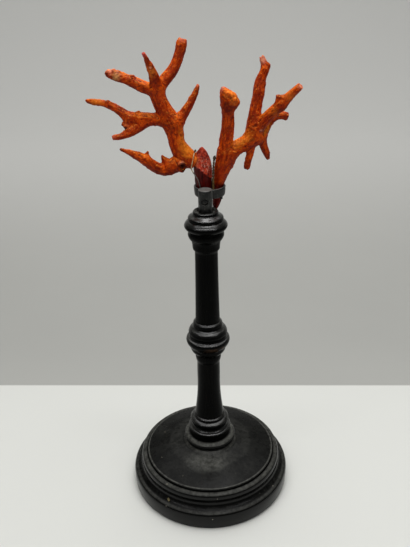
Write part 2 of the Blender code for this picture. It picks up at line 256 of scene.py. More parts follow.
def upper_column_outline():
    """The middle knop, the upper shaft, the top knop and its collar."""
    outline = [(8.1, COLUMN_JOINT + 0.1), (9.2, 101.4), (9.5, 101.7)]
    outline += arc((9.7, 101.9), (11.2, 105.6), 0.55, 6)
    outline += [(11.35, 105.9), (11.15, 106.1), (11.15, 106.3)]
    outline += arc((11.6, 106.5), (13.85, 110.7), 0.5, 8)
    outline += arc((13.8, 110.9), (12.2, 112.7), 0.5, 8)
    outline += [(11.9, 113.0), (11.7, 113.5), (11.6, 114.2)]
    outline += arc((11.75, 114.5), (11.05, 118.9), 0.8, 8)
    outline += [(10.6, 119.1), (10.0, 119.5)]
    outline += arc((9.6, 119.9), (9.05, 120.8), -0.15, 3)
    outline += arc((9.1, 121.1), (8.9, 123.2), 0.3, 5)
    outline += [(8.5, 123.7), (7.85, 124.1), (7.7, 124.6)]
    outline += arc((7.65, 125.2), (6.9, 171.2), -0.12, 10)
    outline += [(7.0, 172.0), (8.0, 173.4), (8.15, 173.8)]
    outline += arc((8.2, 174.2), (8.75, 178.6), -0.15, 5)
    outline += [(8.95, 179.0), (9.3, 179.3), (9.3, 179.6)]
    outline += arc((9.75, 179.9), (10.5, 184.5), 0.6, 8)
    outline += [(10.35, 184.8), (10.35, 185.0)]
    outline += arc((10.8, 185.3), (10.6, 191.3), 2.1, 14)
    outline += [(10.2, 191.45), (10.1, 191.6)]
    outline += arc((10.2, 191.8), (9.2, 194.2), 0.75, 7)
    outline += [(8.9, 194.35), (8.2, 194.7), (7.5, 195.2), (7.35, 195.5)]
    outline += arc((7.45, 195.7), (7.0, COLLAR_TOP), 0.3, 5)
    outline += [(5.6, COLLAR_TOP), (5.1, 196.9), (4.95, 196.5), (4.2, 196.45)]
    return outline


# ---------------------------------------------------------------- the clasp

PEG_FOOT = 196.6
PEG_RADIUS = 4.15
PEG_TOP = 209.9
SCREW_X = -0.4
SCREW_HEIGHT = 203.3
SCREW_HEAD = 1.6
SCREW_SHANK = 0.8
SCREW_BORE = 1.1
SEAT_RADIUS = 2.0
HOOP_CENTRE = (2.75, 13.6)
HOOP_BOTTOM = 202.0
HOOP_TOP = 207.8


def rod(radius, y_near, y_far, sides=48):
    """A rod along the screw's line, as a cutter or a blank."""
    deselect()
    bpy.ops.mesh.primitive_cylinder_add(
        vertices=sides, radius=radius * MM, depth=(y_far - y_near) * MM,
        location=(SCREW_X * MM, (y_near + y_far) / 2 * MM, SCREW_HEIGHT * MM),
        rotation=(math.pi / 2, 0, 0))
    obj = bpy.context.object
    settle(obj)
    return obj


def make_peg():
    """The upright peg, bored through and counterbored for the screw."""
    outline = [(3.6, PEG_FOOT), (4.0, 196.65), (PEG_RADIUS, 197.0), (PEG_RADIUS, 209.0)]
    outline += arc((PEG_RADIUS, 209.2), (3.5, PEG_TOP), 0.14, 5)
    outline += arc((3.3, PEG_TOP), (0.4, PEG_TOP - 0.18), 0.0, 3)
    peg = turn(outline, sides=96)
    cut(peg, rod(SEAT_RADIUS, -6.4, -2.1))
    cut(peg, rod(SCREW_BORE, -3.0, 6.0, sides=32))
    soften(peg, 35)
    return peg


def make_screw():
    """A round-edged head with a slot, and the shank that runs into the hoop."""
    head = rod(SCREW_HEAD, -3.35, -2.25)
    modify(head, "BEVEL", width=0.35 * MM, segments=4, limit_method="ANGLE")
    cut(head, block((4.2, 0.9, 0.5), (SCREW_X, -3.4, SCREW_HEIGHT), (0, 35, 0)))
    cut(head, rod(SCREW_SHANK, -3.0, 6.9, sides=32), "UNION")
    soften(head, 35)
    return head


def make_hoop():
    """A narrow band, its edges rounded over and its foot drawn in a little, with a bent lip."""
    low, high = HOOP_BOTTOM, HOOP_TOP
    outline = [(7.75, low + 0.5), (7.8, low + 0.15), (8.0, low)]
    outline += arc((8.35, low), (9.0, low + 0.75), 0.15, 4)
    outline += [(9.15, low + 1.6), (9.3, low + 3.6), (9.3, high - 1.1)]
    outline += arc((9.38, high - 0.7), (8.85, high), 0.22, 5)
    outline += [(8.6, high - 0.02), (8.35, high - 0.3), (8.25, low + 3.0), (7.85, low + 1.2)]
    outline.append(outline[0])
    hoop = turn(outline, sides=128, centre=HOOP_CENTRE, ring=True)
    cut(hoop, rod(SCREW_BORE, 2.6, 8.6, sides=32))
    lip = block((1.7, 0.9, 1.7), (9.4, 7.6, 201.9), (0, 0, 45))
    modify(lip, "BEVEL", width=0.3 * MM, segments=3, limit_method="ANGLE")
    cut(hoop, lip, "UNION")
    soften(hoop, 40)
    return hoop


# ---------------------------------------------------------------- coral: its lines

# Limbs of coral: x, y, height and radius along each centre line.
CORE = [
    (-0.7, 13.6, 200.6, 3.0), (-0.7, 13.6, 203.5, 4.0), (-0.7, 13.6, 206.8, 4.4),
    (-1.0, 13.7, 211.5, 5.0), (-1.1, 13.8, 216.5, 5.4), (-1.3, 13.8, 221.0, 5.1),
    (-1.5, 13.8, 225.0, 3.8), (-1.5, 13.8, 228.0, 2.2), (-1.4, 13.8, 230.0, 0.7),
]
LEFT_STEM = [
    (-6.0, 13.1, 222.3, 4.5), (-7.5, 13.0, 223.2, 4.8), (-11.0, 12.8, 226.0, 5.3),
    (-14.0, 12.5, 230.0, 5.0), (-15.7, 12.5, 234.5, 4.7), (-16.4, 12.8, 238.8, 4.9),
    (-17.5, 13.0, 243.5, 5.2),
]
LEFT_STEM_STUB = [(-15.0, 10.5, 222.0, 3.8), (-11.9, 9.0, 219.9, 2.7)]
LEFT_LOW = [
    (-13.4, 12.4, 223.6, 3.3), (-17.0, 11.5, 221.3, 4.5), (-22.0, 10.0, 219.3, 3.7),
    (-26.5, 8.0, 220.3, 3.2), (-30.3, 6.5, 223.2, 3.1), (-33.5, 5.0, 226.2, 2.7),
    (-38.0, 4.0, 229.3, 2.1), (-42.5, 3.0, 231.6, 1.5), (-46.5, 2.5, 233.5, 0.7),
]
LEFT_LOW_SPUR = [(-21.0, 9.5, 222.0, 3.0), (-23.3, 9.4, 225.4, 1.3), (-24.1, 9.3, 227.0, 0.5)]
LEFT_LOW_NIB = [(-32.4, 5.0, 226.5, 1.8), (-32.3, 5.0, 229.2, 0.9), (-31.6, 5.0, 230.8, 0.4)]
CROWN_STEM = [
    (-17.7, 13.0, 245.0, 4.9), (-19.8, 13.0, 248.8, 4.8), (-22.5, 13.0, 253.5, 4.5),
    (-24.8, 13.0, 258.5, 4.3), (-25.8, 13.0, 263.0, 4.1),
]
LEFT_BOUGH = [
    (-18.0, 13.0, 245.6, 3.9), (-24.0, 13.3, 246.8, 3.7), (-31.0, 14.0, 247.3, 3.5),
    (-37.3, 14.6, 247.3, 3.6), (-42.0, 15.5, 248.2, 3.3), (-46.5, 16.5, 251.2, 2.6),
    (-51.5, 17.5, 253.8, 2.1), (-56.5, 19.0, 255.3, 1.9), (-62.0, 20.0, 256.2, 1.8),
    (-65.0, 20.5, 256.6, 1.3), (-66.2, 20.9, 256.9, 0.7),
]
LEFT_BOUGH_STUB = [(-41.5, 15.0, 247.0, 3.1), (-44.3, 13.4, 243.2, 2.5)]
LEFT_BOUGH_FORK = [
    (-32.0, 14.0, 246.0, 2.9), (-37.5, 12.8, 242.8, 2.7), (-42.5, 11.5, 240.2, 2.4),
    (-46.5, 10.0, 238.8, 1.9), (-49.6, 9.0, 238.4, 1.8), (-51.2, 8.8, 238.3, 1.5),
]
CROWN_LEFT = [
    (-25.5, 13.3, 262.6, 3.4), (-31.5, 14.5, 264.3, 3.2), (-37.0, 16.0, 266.6, 3.0),
    (-42.5, 17.0, 268.8, 2.8), (-47.5, 18.0, 270.2, 2.8), (-51.0, 19.0, 271.4, 2.4),
    (-52.8, 19.3, 272.1, 1.5),
]
CROWN_FRONT = [
    (-25.3, 11.8, 265.5, 3.4), (-26.3, 9.0, 271.0, 2.7), (-27.5, 5.5, 275.5, 2.05),
    (-28.8, 2.0, 279.8, 1.4), (-29.6, -0.8, 282.6, 1.0), (-30.3, -2.7, 284.5, 0.9),
]
CROWN_RIGHT = [
    (-25.3, 13.8, 263.5, 3.4), (-21.0, 15.0, 268.2, 3.3), (-17.0, 16.0, 272.8, 3.1),
    (-14.2, 17.0, 277.6, 2.9), (-12.2, 18.3, 283.0, 2.8), (-11.2, 19.1, 286.6, 2.8),
    (-10.8, 19.4, 288.0, 2.4),
]
INNER_TWIG = [
    (-16.5, 13.0, 243.0, 3.8), (-12.0, 13.5, 248.8, 3.1), (-8.0, 14.6, 254.4, 2.3),
    (-5.2, 16.0, 259.2, 1.8), (-3.5, 17.2, 263.0, 1.45), (-3.0, 17.5, 264.6, 0.9),
]
# Small nubs on the left branch.
LEFT_NUBS = [
    [(-48.6, 16.8, 271.5, 1.2), (-48.8, 16.6, 273.4, 0.7)],
    [(-46.8, 16.8, 271.0, 1.1), (-46.6, 16.6, 272.8, 0.6)],
    [(-53.6, 17.6, 255.0, 1.6), (-53.4, 17.3, 256.3, 0.9)],
    [(-36.8, 14.0, 249.4, 1.5), (-36.6, 13.8, 251.2, 0.8)],
    [(-27.7, 2.6, 277.2, 1.2), (-27.1, 1.6, 278.4, 0.7)],
    [(-38.5, 15.6, 268.8, 1.3), (-38.3, 15.4, 270.4, 0.8)],
]
RIGHT_STEM = [
    (5.7, 13.4, 192.7, 0.9), (6.4, 13.5, 195.8, 2.0), (7.2, 13.6, 200.2, 2.7),
    (7.9, 13.6, 207.0, 2.6), (8.6, 13.6, 210.6, 3.3), (10.0, 13.5, 216.0, 4.3),
    (11.5, 13.4, 221.5, 5.4), (13.0, 13.0, 226.3, 5.7),
]
RIGHT_POST = [
    (12.3, 12.7, 226.5, 4.4), (12.5, 12.0, 233.0, 3.8), (13.1, 11.0, 239.5, 3.7),
    (13.5, 9.8, 246.0, 3.5), (13.6, 8.4, 251.5, 3.4), (13.6, 6.9, 256.0, 3.9),
    (12.6, 5.5, 260.3, 3.6), (11.3, 4.6, 263.3, 2.4), (10.6, 4.2, 265.0, 1.2),
]
RIGHT_POST_LOBE = [
    (13.6, 7.0, 255.6, 3.6), (16.2, 6.0, 257.0, 2.8), (17.6, 5.5, 257.4, 1.6),
]
# Small nubs on the head of the right post.
RIGHT_NUBS = [
    [(14.2, 5.4, 258.4, 2.6), (16.0, 4.6, 260.7, 1.8)],
    [(12.4, 4.0, 261.0, 1.5), (13.1, 2.0, 262.5, 0.9)],
    [(15.6, 4.4, 257.8, 1.6), (16.8, 2.4, 259.2, 1.0)],
    [(13.2, 4.2, 257.6, 1.7), (13.5, 1.9, 259.2, 1.0)],
    [(14.6, 4.4, 260.6, 1.5), (15.1, 2.5, 261.8, 0.8)],
    [(17.0, 5.4, 256.6, 1.4), (18.2, 4.2, 257.4, 0.9)],
]
RIGHT_BOUGH = [
    (13.5, 13.3, 226.8, 4.7), (19.5, 14.0, 230.3, 4.2), (24.0, 14.5, 232.6, 4.4),
    (28.0, 15.0, 235.6, 4.7),
]
RIGHT_UPRIGHT = [
    (27.3, 15.0, 235.0, 4.1), (27.7, 15.5, 240.5, 3.8), (28.9, 16.0, 247.5, 3.5),
    (29.9, 17.0, 254.0, 3.3), (30.9, 17.5, 260.0, 3.2), (32.0, 18.5, 266.4, 3.0),
    (33.6, 19.0, 270.6, 2.3), (34.2, 19.5, 273.6, 1.8), (33.7, 20.0, 276.8, 1.3),
    (33.3, 20.2, 278.8, 0.8),
]
RIGHT_UPRIGHT_NUB = [(34.2, 19.0, 272.3, 1.9), (36.3, 19.4, 274.4, 0.9)]
RIGHT_UPRIGHT_PRONG = [
    (33.8, 19.6, 274.4, 1.3), (32.3, 19.2, 276.8, 0.8), (31.6, 19.0, 278.3, 0.45),
]
RIGHT_HIGH = [
    (29.0, 14.6, 238.6, 3.8), (34.0, 12.6, 245.3, 3.2), (38.0, 11.0, 249.8, 3.1),
    (42.0, 9.5, 254.0, 2.9), (46.0, 8.0, 258.4, 2.6), (49.6, 7.0, 262.2, 2.3),
    (52.2, 6.4, 264.8, 1.8),
]
RIGHT_HIGH_SPUR = [(42.8, 9.5, 254.5, 2.8), (42.1, 9.3, 259.0, 2.35)]
RIGHT_LOW = [
    (29.5, 16.2, 235.0, 4.3), (33.6, 18.4, 238.2, 3.6), (37.2, 20.5, 242.4, 2.8),
    (41.6, 22.0, 245.2, 2.3), (45.2, 23.0, 245.7, 2.4), (47.8, 23.4, 245.0, 2.3),
]
DROP_TWIG_FRONT = [
    (26.6, 14.5, 231.0, 2.7), (26.3, 13.5, 226.8, 2.3), (25.3, 12.5, 222.8, 2.0),
    (24.7, 12.0, 219.6, 1.9), (24.5, 11.9, 218.2, 1.5),
]
DROP_TWIG_BACK = [
    (33.2, 17.6, 235.4, 3.1), (34.4, 18.2, 229.5, 2.4), (36.1, 19.0, 225.0, 1.9),
    (37.4, 19.4, 221.6, 1.1),
]

# Bent wires that tie the coral: x, y, height.
LEFT_WIRE = [
    (-2.2, 18.5, 204.5), (-2.7, 19.0, 209.5), (-5.0, 19.2, 214.5),
    (-7.4, 19.3, 219.0), (-7.2, 18.6, 223.5), (-6.2, 15.8, 227.2), (-5.6, 12.6, 228.5),
    (-6.1, 9.6, 227.2), (-7.0, 8.0, 223.6), (-7.6, 7.4, 219.8), (-6.3, 7.7, 216.8),
    (-4.7, 8.0, 214.3), (-3.5, 8.2, 211.2), (-2.9, 8.5, 208.2), (-2.7, 8.7, 204.5),
]
RIGHT_WIRE = [
    (4.9, 16.2, 204.5), (4.7, 16.6, 210.0), (5.0, 17.6, 217.0), (5.6, 17.0, 222.5),
    (5.9, 14.6, 224.6), (5.7, 11.6, 224.6), (5.2, 9.6, 221.0), (4.8, 9.4, 214.0),
    (4.8, 9.8, 209.0), (4.9, 10.4, 204.5),
]
LEFT_KNOT = (-5.2, 11.6, 229.0)
RIGHT_KNOT = (5.7, 9.9, 225.2)


def unit(vectors):
    """These vectors, each one long."""
    return vectors / np.maximum(np.linalg.norm(vectors, axis=-1, keepdims=True), 1e-9)


def flow(points, step=0.55):
    """Samples a smooth line through given points of place and radius."""
    knots = np.array(points, dtype=float)
    knots = np.vstack([2 * knots[0] - knots[1], knots, 2 * knots[-1] - knots[-2]])
    samples = []
    for a, b, c, d in zip(knots[:-3], knots[1:-2], knots[2:-1], knots[3:]):
        count = max(2, round(np.linalg.norm((c - b)[:3]) / step))
        for t in np.arange(count) / count:
            samples.append(b + 0.5 * t * (c - a + t * (2 * a - 5 * b + 4 * c - d
                                                       + t * (3 * (b - c) + d - a))))
    samples.append(knots[-2])
    return np.array(samples)


class Limb:
    """A limb's centre line, its radii, and a frame that runs along it.

    Where a limb is broken off flat, broken gives how far past the end of its line the break
    lies, and which way its face leans.
    """

    def __init__(self, points, broken=None):
        samples = flow(points)
        self.centre, self.radius = samples[:, :3], np.maximum(samples[:, 3], 0.3)
        steps = np.linalg.norm(np.diff(self.centre, axis=0), axis=1)
        self.along = np.concatenate([[0], np.cumsum(steps)])
        self.way = unit(np.gradient(self.centre, axis=0))
        depth = np.array([0.0, 1.0, 0.15])
        self.side = unit(depth - self.way * (self.way @ depth)[:, None])
        self.over = np.cross(self.way, self.side)
        self.broken = broken

    def blank(self):
        """A round tube along the limb, its far end rounded over."""
        places, radii = list(self.centre), list(self.radius)
        tip, end_radius = places[-1], radii[-1]
        for degrees in (35, 60, 80):
            turned = math.radians(degrees)
            places.append(tip + self.way[-1] * end_radius * math.sin(turned))
            radii.append(end_radius * math.cos(turned))
        return tube(places, radii, resolution=5)

    def reach(self, points):
        """Each point's distance to the limb's surface, its nearest sample, and the way out."""
        distance = np.empty(len(points))
        nearest = np.empty(len(points), dtype=int)
        for first in range(0, len(points), 20000):
            some = slice(first, first + 20000)
            gap = points[some, None, :] - self.centre[None, :, :]
            depth = np.sqrt(np.einsum("ijk,ijk->ij", gap, gap)) - self.radius
            nearest[some] = depth.argmin(axis=1)
            distance[some] = depth.min(axis=1)
        outward = unit(points - self.centre[nearest])
        if self.broken is not None:
            face = unit(self.way[-1] + np.array(self.broken[1]))
            past = (points - self.centre[-1]) @ face - self.broken[0]
            flat = past > distance
            distance = np.where(flat, past, distance)
            outward[flat] = face
        return distance, nearest, outward


# ---------------------------------------------------------------- coral: its skin


class Skin:
    """A closed skin grown round several limbs, worked as arrays in millimetres."""

    def __init__(self, limbs, voxel, web, against=()):
        self.limbs = limbs
        self.against = against
        self.web = web
        blanks = [limb.blank() for limb in limbs]
        self.obj = joined(*blanks) if len(blanks) > 1 else blanks[0]
        modify(self.obj, "REMESH", mode="VOXEL", voxel_size=voxel * MM)
        self.mesh = self.obj.data
        count = len(self.mesh.vertices)
        self.co = np.empty(count * 3)
        self.mesh.vertices.foreach_get("co", self.co)
        self.co = self.co.reshape(-1, 3) / MM
        edges = np.empty(len(self.mesh.edges) * 2, dtype=int)
        self.mesh.edges.foreach_get("vertices", edges)
        self.edges = edges.reshape(-1, 2)
        self.links = np.bincount(self.edges.ravel(), minlength=count)[:, None]
        self.fields = {}

    def averaged(self, values):
        """The mean of each vertex's neighbours."""
        total = np.zeros_like(values)
        a, b = self.edges.T
        for axis in range(values.shape[1]):
            total[:, axis] = np.bincount(a, values[b, axis], len(values))
            total[:, axis] += np.bincount(b, values[a, axis], len(values))
        return total / self.links

    def relax(self, rounds):
        """Evens the skin out without shrinking it."""
        for _ in range(rounds):
            self.co += 0.5 * (self.averaged(self.co) - self.co)
            self.co -= 0.52 * (self.averaged(self.co) - self.co)

    def hug(self):
        """Draws the skin onto the limbs, webbed where they fork, and notes the way they run."""
        starts = [0.0]
        for number, limb in enumerate(self.limbs[1:], 1):
            gaps = [np.linalg.norm(other.centre - limb.centre[0], axis=1)
                    for other in self.limbs[:number]]
            near = min(range(number), key=lambda k: gaps[k].min())
            starts.append(starts[near] + self.limbs[near].along[gaps[near].argmin()])
        weights, places, outwards = [], [], []
        for start, limb in zip(starts, self.limbs):
            distance, nearest, outward = limb.reach(self.co)
            arm = self.co - limb.centre[nearest]
            along = start + limb.along[nearest] + np.einsum("ij,ij->i", arm, limb.way[nearest])
            places.append(np.stack([np.einsum("ij,ij->i", arm, limb.side[nearest]),
                                    np.einsum("ij,ij->i", arm, limb.over[nearest]),
                                    along], axis=1))
            weights.append(distance)
            outwards.append(outward)
        distance = np.array(weights)
        least = distance.min(axis=0)
        share = np.exp(-(distance - least) / self.web)
        whole = share.sum(axis=0)
        share /= whole
        depth = least - self.web * np.log(whole)
        way = unit(np.einsum("ln,lnk->nk", share, np.array(outwards)))
        for neighbour in self.against:
            distance, _, outward = neighbour.reach(self.co)
            inside = -distance > depth
            depth = np.where(inside, -distance, depth)
            way[inside] = -outward[inside]
        self.co -= depth[:, None] * way
        self.fields["grain"] = np.einsum("ln,lnk->nk", share, np.array(places))

    def normals(self):
        """Which way the skin faces at each vertex."""
        self.store()
        out = np.empty(len(self.co) * 3)
        self.mesh.vertex_normals.foreach_get("vector", out)
        return out.reshape(-1, 3)

    def store(self):
        """Writes the places back into the mesh."""
        self.mesh.vertices.foreach_set("co", (self.co * MM).ravel())
        self.mesh.update()

    def noise(self, size, at=None, seed=0.0, octaves=2):
        """Noise between about -1 and 1 with lumps of this size, at each vertex."""
        spots = (self.co if at is None else at) / size + seed
        return np.array([noise.fractal(spot, 0.9, 2.0, octaves) for spot in spots])

    def tree(self):
        """The vertices, ready to be searched by place."""
        tree = kdtree.KDTree(len(self.co))
        for index, spot in enumerate(self.co):
            tree.insert(spot, index)
        tree.balance()
        return tree

    def keep(self):
        """Writes the fields as attributes, for the finishes."""
        self.store()
        for name, values in self.fields.items():
            if values.ndim == 1:
                self.mesh.attributes.new(name, "FLOAT", "POINT").data.foreach_set("value", values)
            elif values.shape[1] == 3:
                layer = self.mesh.attributes.new(name, "FLOAT_VECTOR", "POINT")
                layer.data.foreach_set("vector", (values * MM).ravel())
            else:
                layer = self.mesh.attributes.new(name, "FLOAT_COLOR", "POINT")
                layer.data.foreach_set("color", values.ravel())
        pick(self.obj)
        bpy.ops.object.shade_smooth()
        return self.obj


def falloff(distance, radius):
    """1 at the middle, 0 at the radius, with soft ends."""
    t = np.clip(1 - distance / radius, 0, 1)
    return t * t * (3 - 2 * t)


# How high the relief of the bark stands: broad lumps, knobs, long flutes and crumbs.
LUMP_RISE = 0.36
KNOB_RISE = 0.2
FLUTE_RISE = 0.19
CRUMB_RISE = 0.07
# Knobs and flutes are drawn out along the limb.
LONG_KNOBS = np.array([1, 1, 0.5])
LONG_FLUTES = np.array([1, 1, 0.13])
# Cups and pits: the vertices to each, the share that are cups, how high the highest cup
# stands and how deep the deepest pit goes.
VERTICES_PER_MARK = 70
RAISED_SHARE = 0.42
MOST_RAISED = 0.4
PIT_SINK = 0.26
# The relief grows from nothing over this height above the smooth foot.
CALM_EDGE = 6.0


def weather(skin, seed, smooth_below=0.0):
    """Lumps, flutes, raised cups and scattered pits, and fields that say where they are."""
    dice = random.Random(seed)
    grain = skin.fields["grain"]
    lumps = skin.noise(8.0, seed=seed, octaves=1)
    knobs = skin.noise(2.5, at=grain * LONG_KNOBS, seed=seed + 9, octaves=2)
    flutes = skin.noise(1.3, at=grain * LONG_FLUTES, seed=seed + 4, octaves=2)
    crumbs = skin.noise(0.75, seed=seed + 2, octaves=2)
    calm = 1 - falloff(np.maximum(skin.co[:, 2] - smooth_below, 0), CALM_EDGE)
    rise = LUMP_RISE * lumps + KNOB_RISE * knobs + FLUTE_RISE * flutes + CRUMB_RISE * crumbs
    pit = np.zeros(len(skin.co))
    cup = np.zeros(len(skin.co))
    tree = skin.tree()
    for _ in range(len(skin.co) // VERTICES_PER_MARK):
        middle = dice.randrange(len(skin.co))
        raised = dice.random() < RAISED_SHARE
        size = dice.uniform(0.55, 1.25) if raised else dice.uniform(0.2, 0.6)
        amount = dice.uniform(0.08, MOST_RAISED) if raised else dice.uniform(0.15, 1.0)
        stretch = dice.uniform(1.0, 1.4) if raised else dice.uniform(1.0, 2.8)
        for _, index, _ in tree.find_range(skin.co[middle], size * stretch):
            gap = grain[index] - grain[middle]
            t = math.hypot(gap[0], gap[1], gap[2] / stretch) / size * (1 + 0.5 * crumbs[index])
            if t >= 1:
                continue
            swell = (1 - t * t) ** 2
            if raised:
                dimple = 0.6 * max(0, 1 - 5.7 * t * t) ** 2
                cup[index] = max(cup[index], amount * (swell - dimple))
            else:
                pit[index] = max(pit[index], amount * swell)
    rise += cup - PIT_SINK * pit
    skin.co += (calm * rise)[:, None] * skin.normals()
    skin.fields["pit"] = calm * pit
    skin.fields["cup"] = calm * cup / MOST_RAISED
    skin.fields["lump"] = 0.5 + 0.5 * np.clip(0.6 * knobs + 0.4 * lumps + 0.5 * flutes, -1, 1)


def hollow(skin, places):
    """Sinks a hollow with a raised rim at each place: centre, radius and depth."""
    for x, y, z, radius, depth in places:
        away = np.linalg.norm(skin.co - np.array([x, y, z]), axis=1) / radius
        sink = depth * np.maximum(1 - away ** 2, 0) ** 2
        rim = 0.3 * depth * np.exp(-((away - 1.1) / 0.22) ** 2)
        skin.co += (rim - sink)[:, None] * skin.normals()


def roughen(skin, ends, seed):
    """Breaks up the ends of limbs, where the bark is chipped: place, radius and amount."""
    chips = skin.noise(0.9, seed=seed, octaves=3)
    raw = np.zeros(len(skin.co))
    for x, y, z, radius, amount in ends:
        away = np.linalg.norm(skin.co - np.array([x, y, z]), axis=1)
        raw = np.maximum(raw, amount * falloff(away, radius))
    skin.co += (raw * chips)[:, None] * skin.normals()


def stains_and_painted_light(skin, patches, seed):
    """Patches of colour, both stains and painted shade and highlights: place, radius, strength and
    tint.
    """
    ragged = skin.noise(1.6, seed=seed, octaves=3)
    colour = np.zeros((len(skin.co), 4))
    for (x, y, z), radius, strength, tint in patches:
        away = np.linalg.norm(skin.co - np.array([x, y, z]), axis=1) + 0.35 * radius * ragged
        hold = (strength * falloff(np.maximum(away, 0), radius))[:, None]
        kept = colour[:, 3:]
        total = np.maximum(hold + kept * (1 - hold), 1e-6)
        colour[:, :3] = (np.array(tint) * hold + colour[:, :3] * kept * (1 - hold)) / total
        colour[:, 3:] = np.where(hold > 0, total, kept)
    skin.fields["stains_and_painted_light"] = colour


# Tints of broken, bare and weathered places; some are also laid as painted shade and painted
# highlights, and SHADOW is only painted shade.
PINK = (0.62, 0.13, 0.08)
ROSE = (0.62, 0.085, 0.095)
PALE_PINK = (0.80, 0.29, 0.18)
TAN = (0.64, 0.31, 0.11)
DEEP_RED = (0.09, 0.005, 0.003)
CORE_RED = (0.19, 0.012, 0.006)
OCHRE = (0.72, 0.20, 0.012)
AMBER = (0.98, 0.25, 0.028)
SHADOW = (0.010, 0.002, 0.002)
GREY_BROWN = (0.09, 0.04, 0.025)
ORANGE_RED = (0.50, 0.036, 0.004)
# Painted highlight on the lit edge of the stump, full and softer.
LIT_EDGE_HIGHLIGHT = (0.66, 0.17, 0.05)
LIT_EDGE_SOFT_HIGHLIGHT = (0.55, 0.12, 0.04)
CORE_PINK = (0.50, 0.06, 0.045)

# The limbs of each branch, with the flat breaks at their ends.
LEFT_LIMBS = [
    Limb(LEFT_STEM), Limb(CROWN_STEM), Limb(LEFT_STEM_STUB, (0.5, (0.3, 0, 0))), Limb(LEFT_LOW),
    Limb(LEFT_LOW_SPUR), Limb(LEFT_LOW_NIB), Limb(LEFT_BOUGH),
    Limb(LEFT_BOUGH_STUB, (0.5, (0, 0, 0))), Limb(LEFT_BOUGH_FORK, (0.4, (0, 0, 0))),
    Limb(CROWN_LEFT, (0.9, (0, 0, 0.5))), Limb(CROWN_FRONT), Limb(CROWN_RIGHT, (0.9, (0, 0, 0))),
    Limb(INNER_TWIG), *(Limb(nub) for nub in LEFT_NUBS),
]
RIGHT_LIMBS = [
    Limb(RIGHT_STEM), Limb(RIGHT_POST), Limb(RIGHT_POST_LOBE), Limb(RIGHT_BOUGH),
    Limb(RIGHT_UPRIGHT), Limb(RIGHT_UPRIGHT_NUB), Limb(RIGHT_UPRIGHT_PRONG),
    Limb(RIGHT_HIGH, (0.7, (0, -0.3, 0))), Limb(RIGHT_HIGH_SPUR, (0.6, (0.3, 0, 0))),
    Limb(RIGHT_LOW, (0.5, (0, 0, 0))),
    Limb(DROP_TWIG_FRONT, (0.5, (0, 0, 0))), Limb(DROP_TWIG_BACK, (0.4, (0, 0, 0))),
    *(Limb(nub) for nub in RIGHT_NUBS),
]
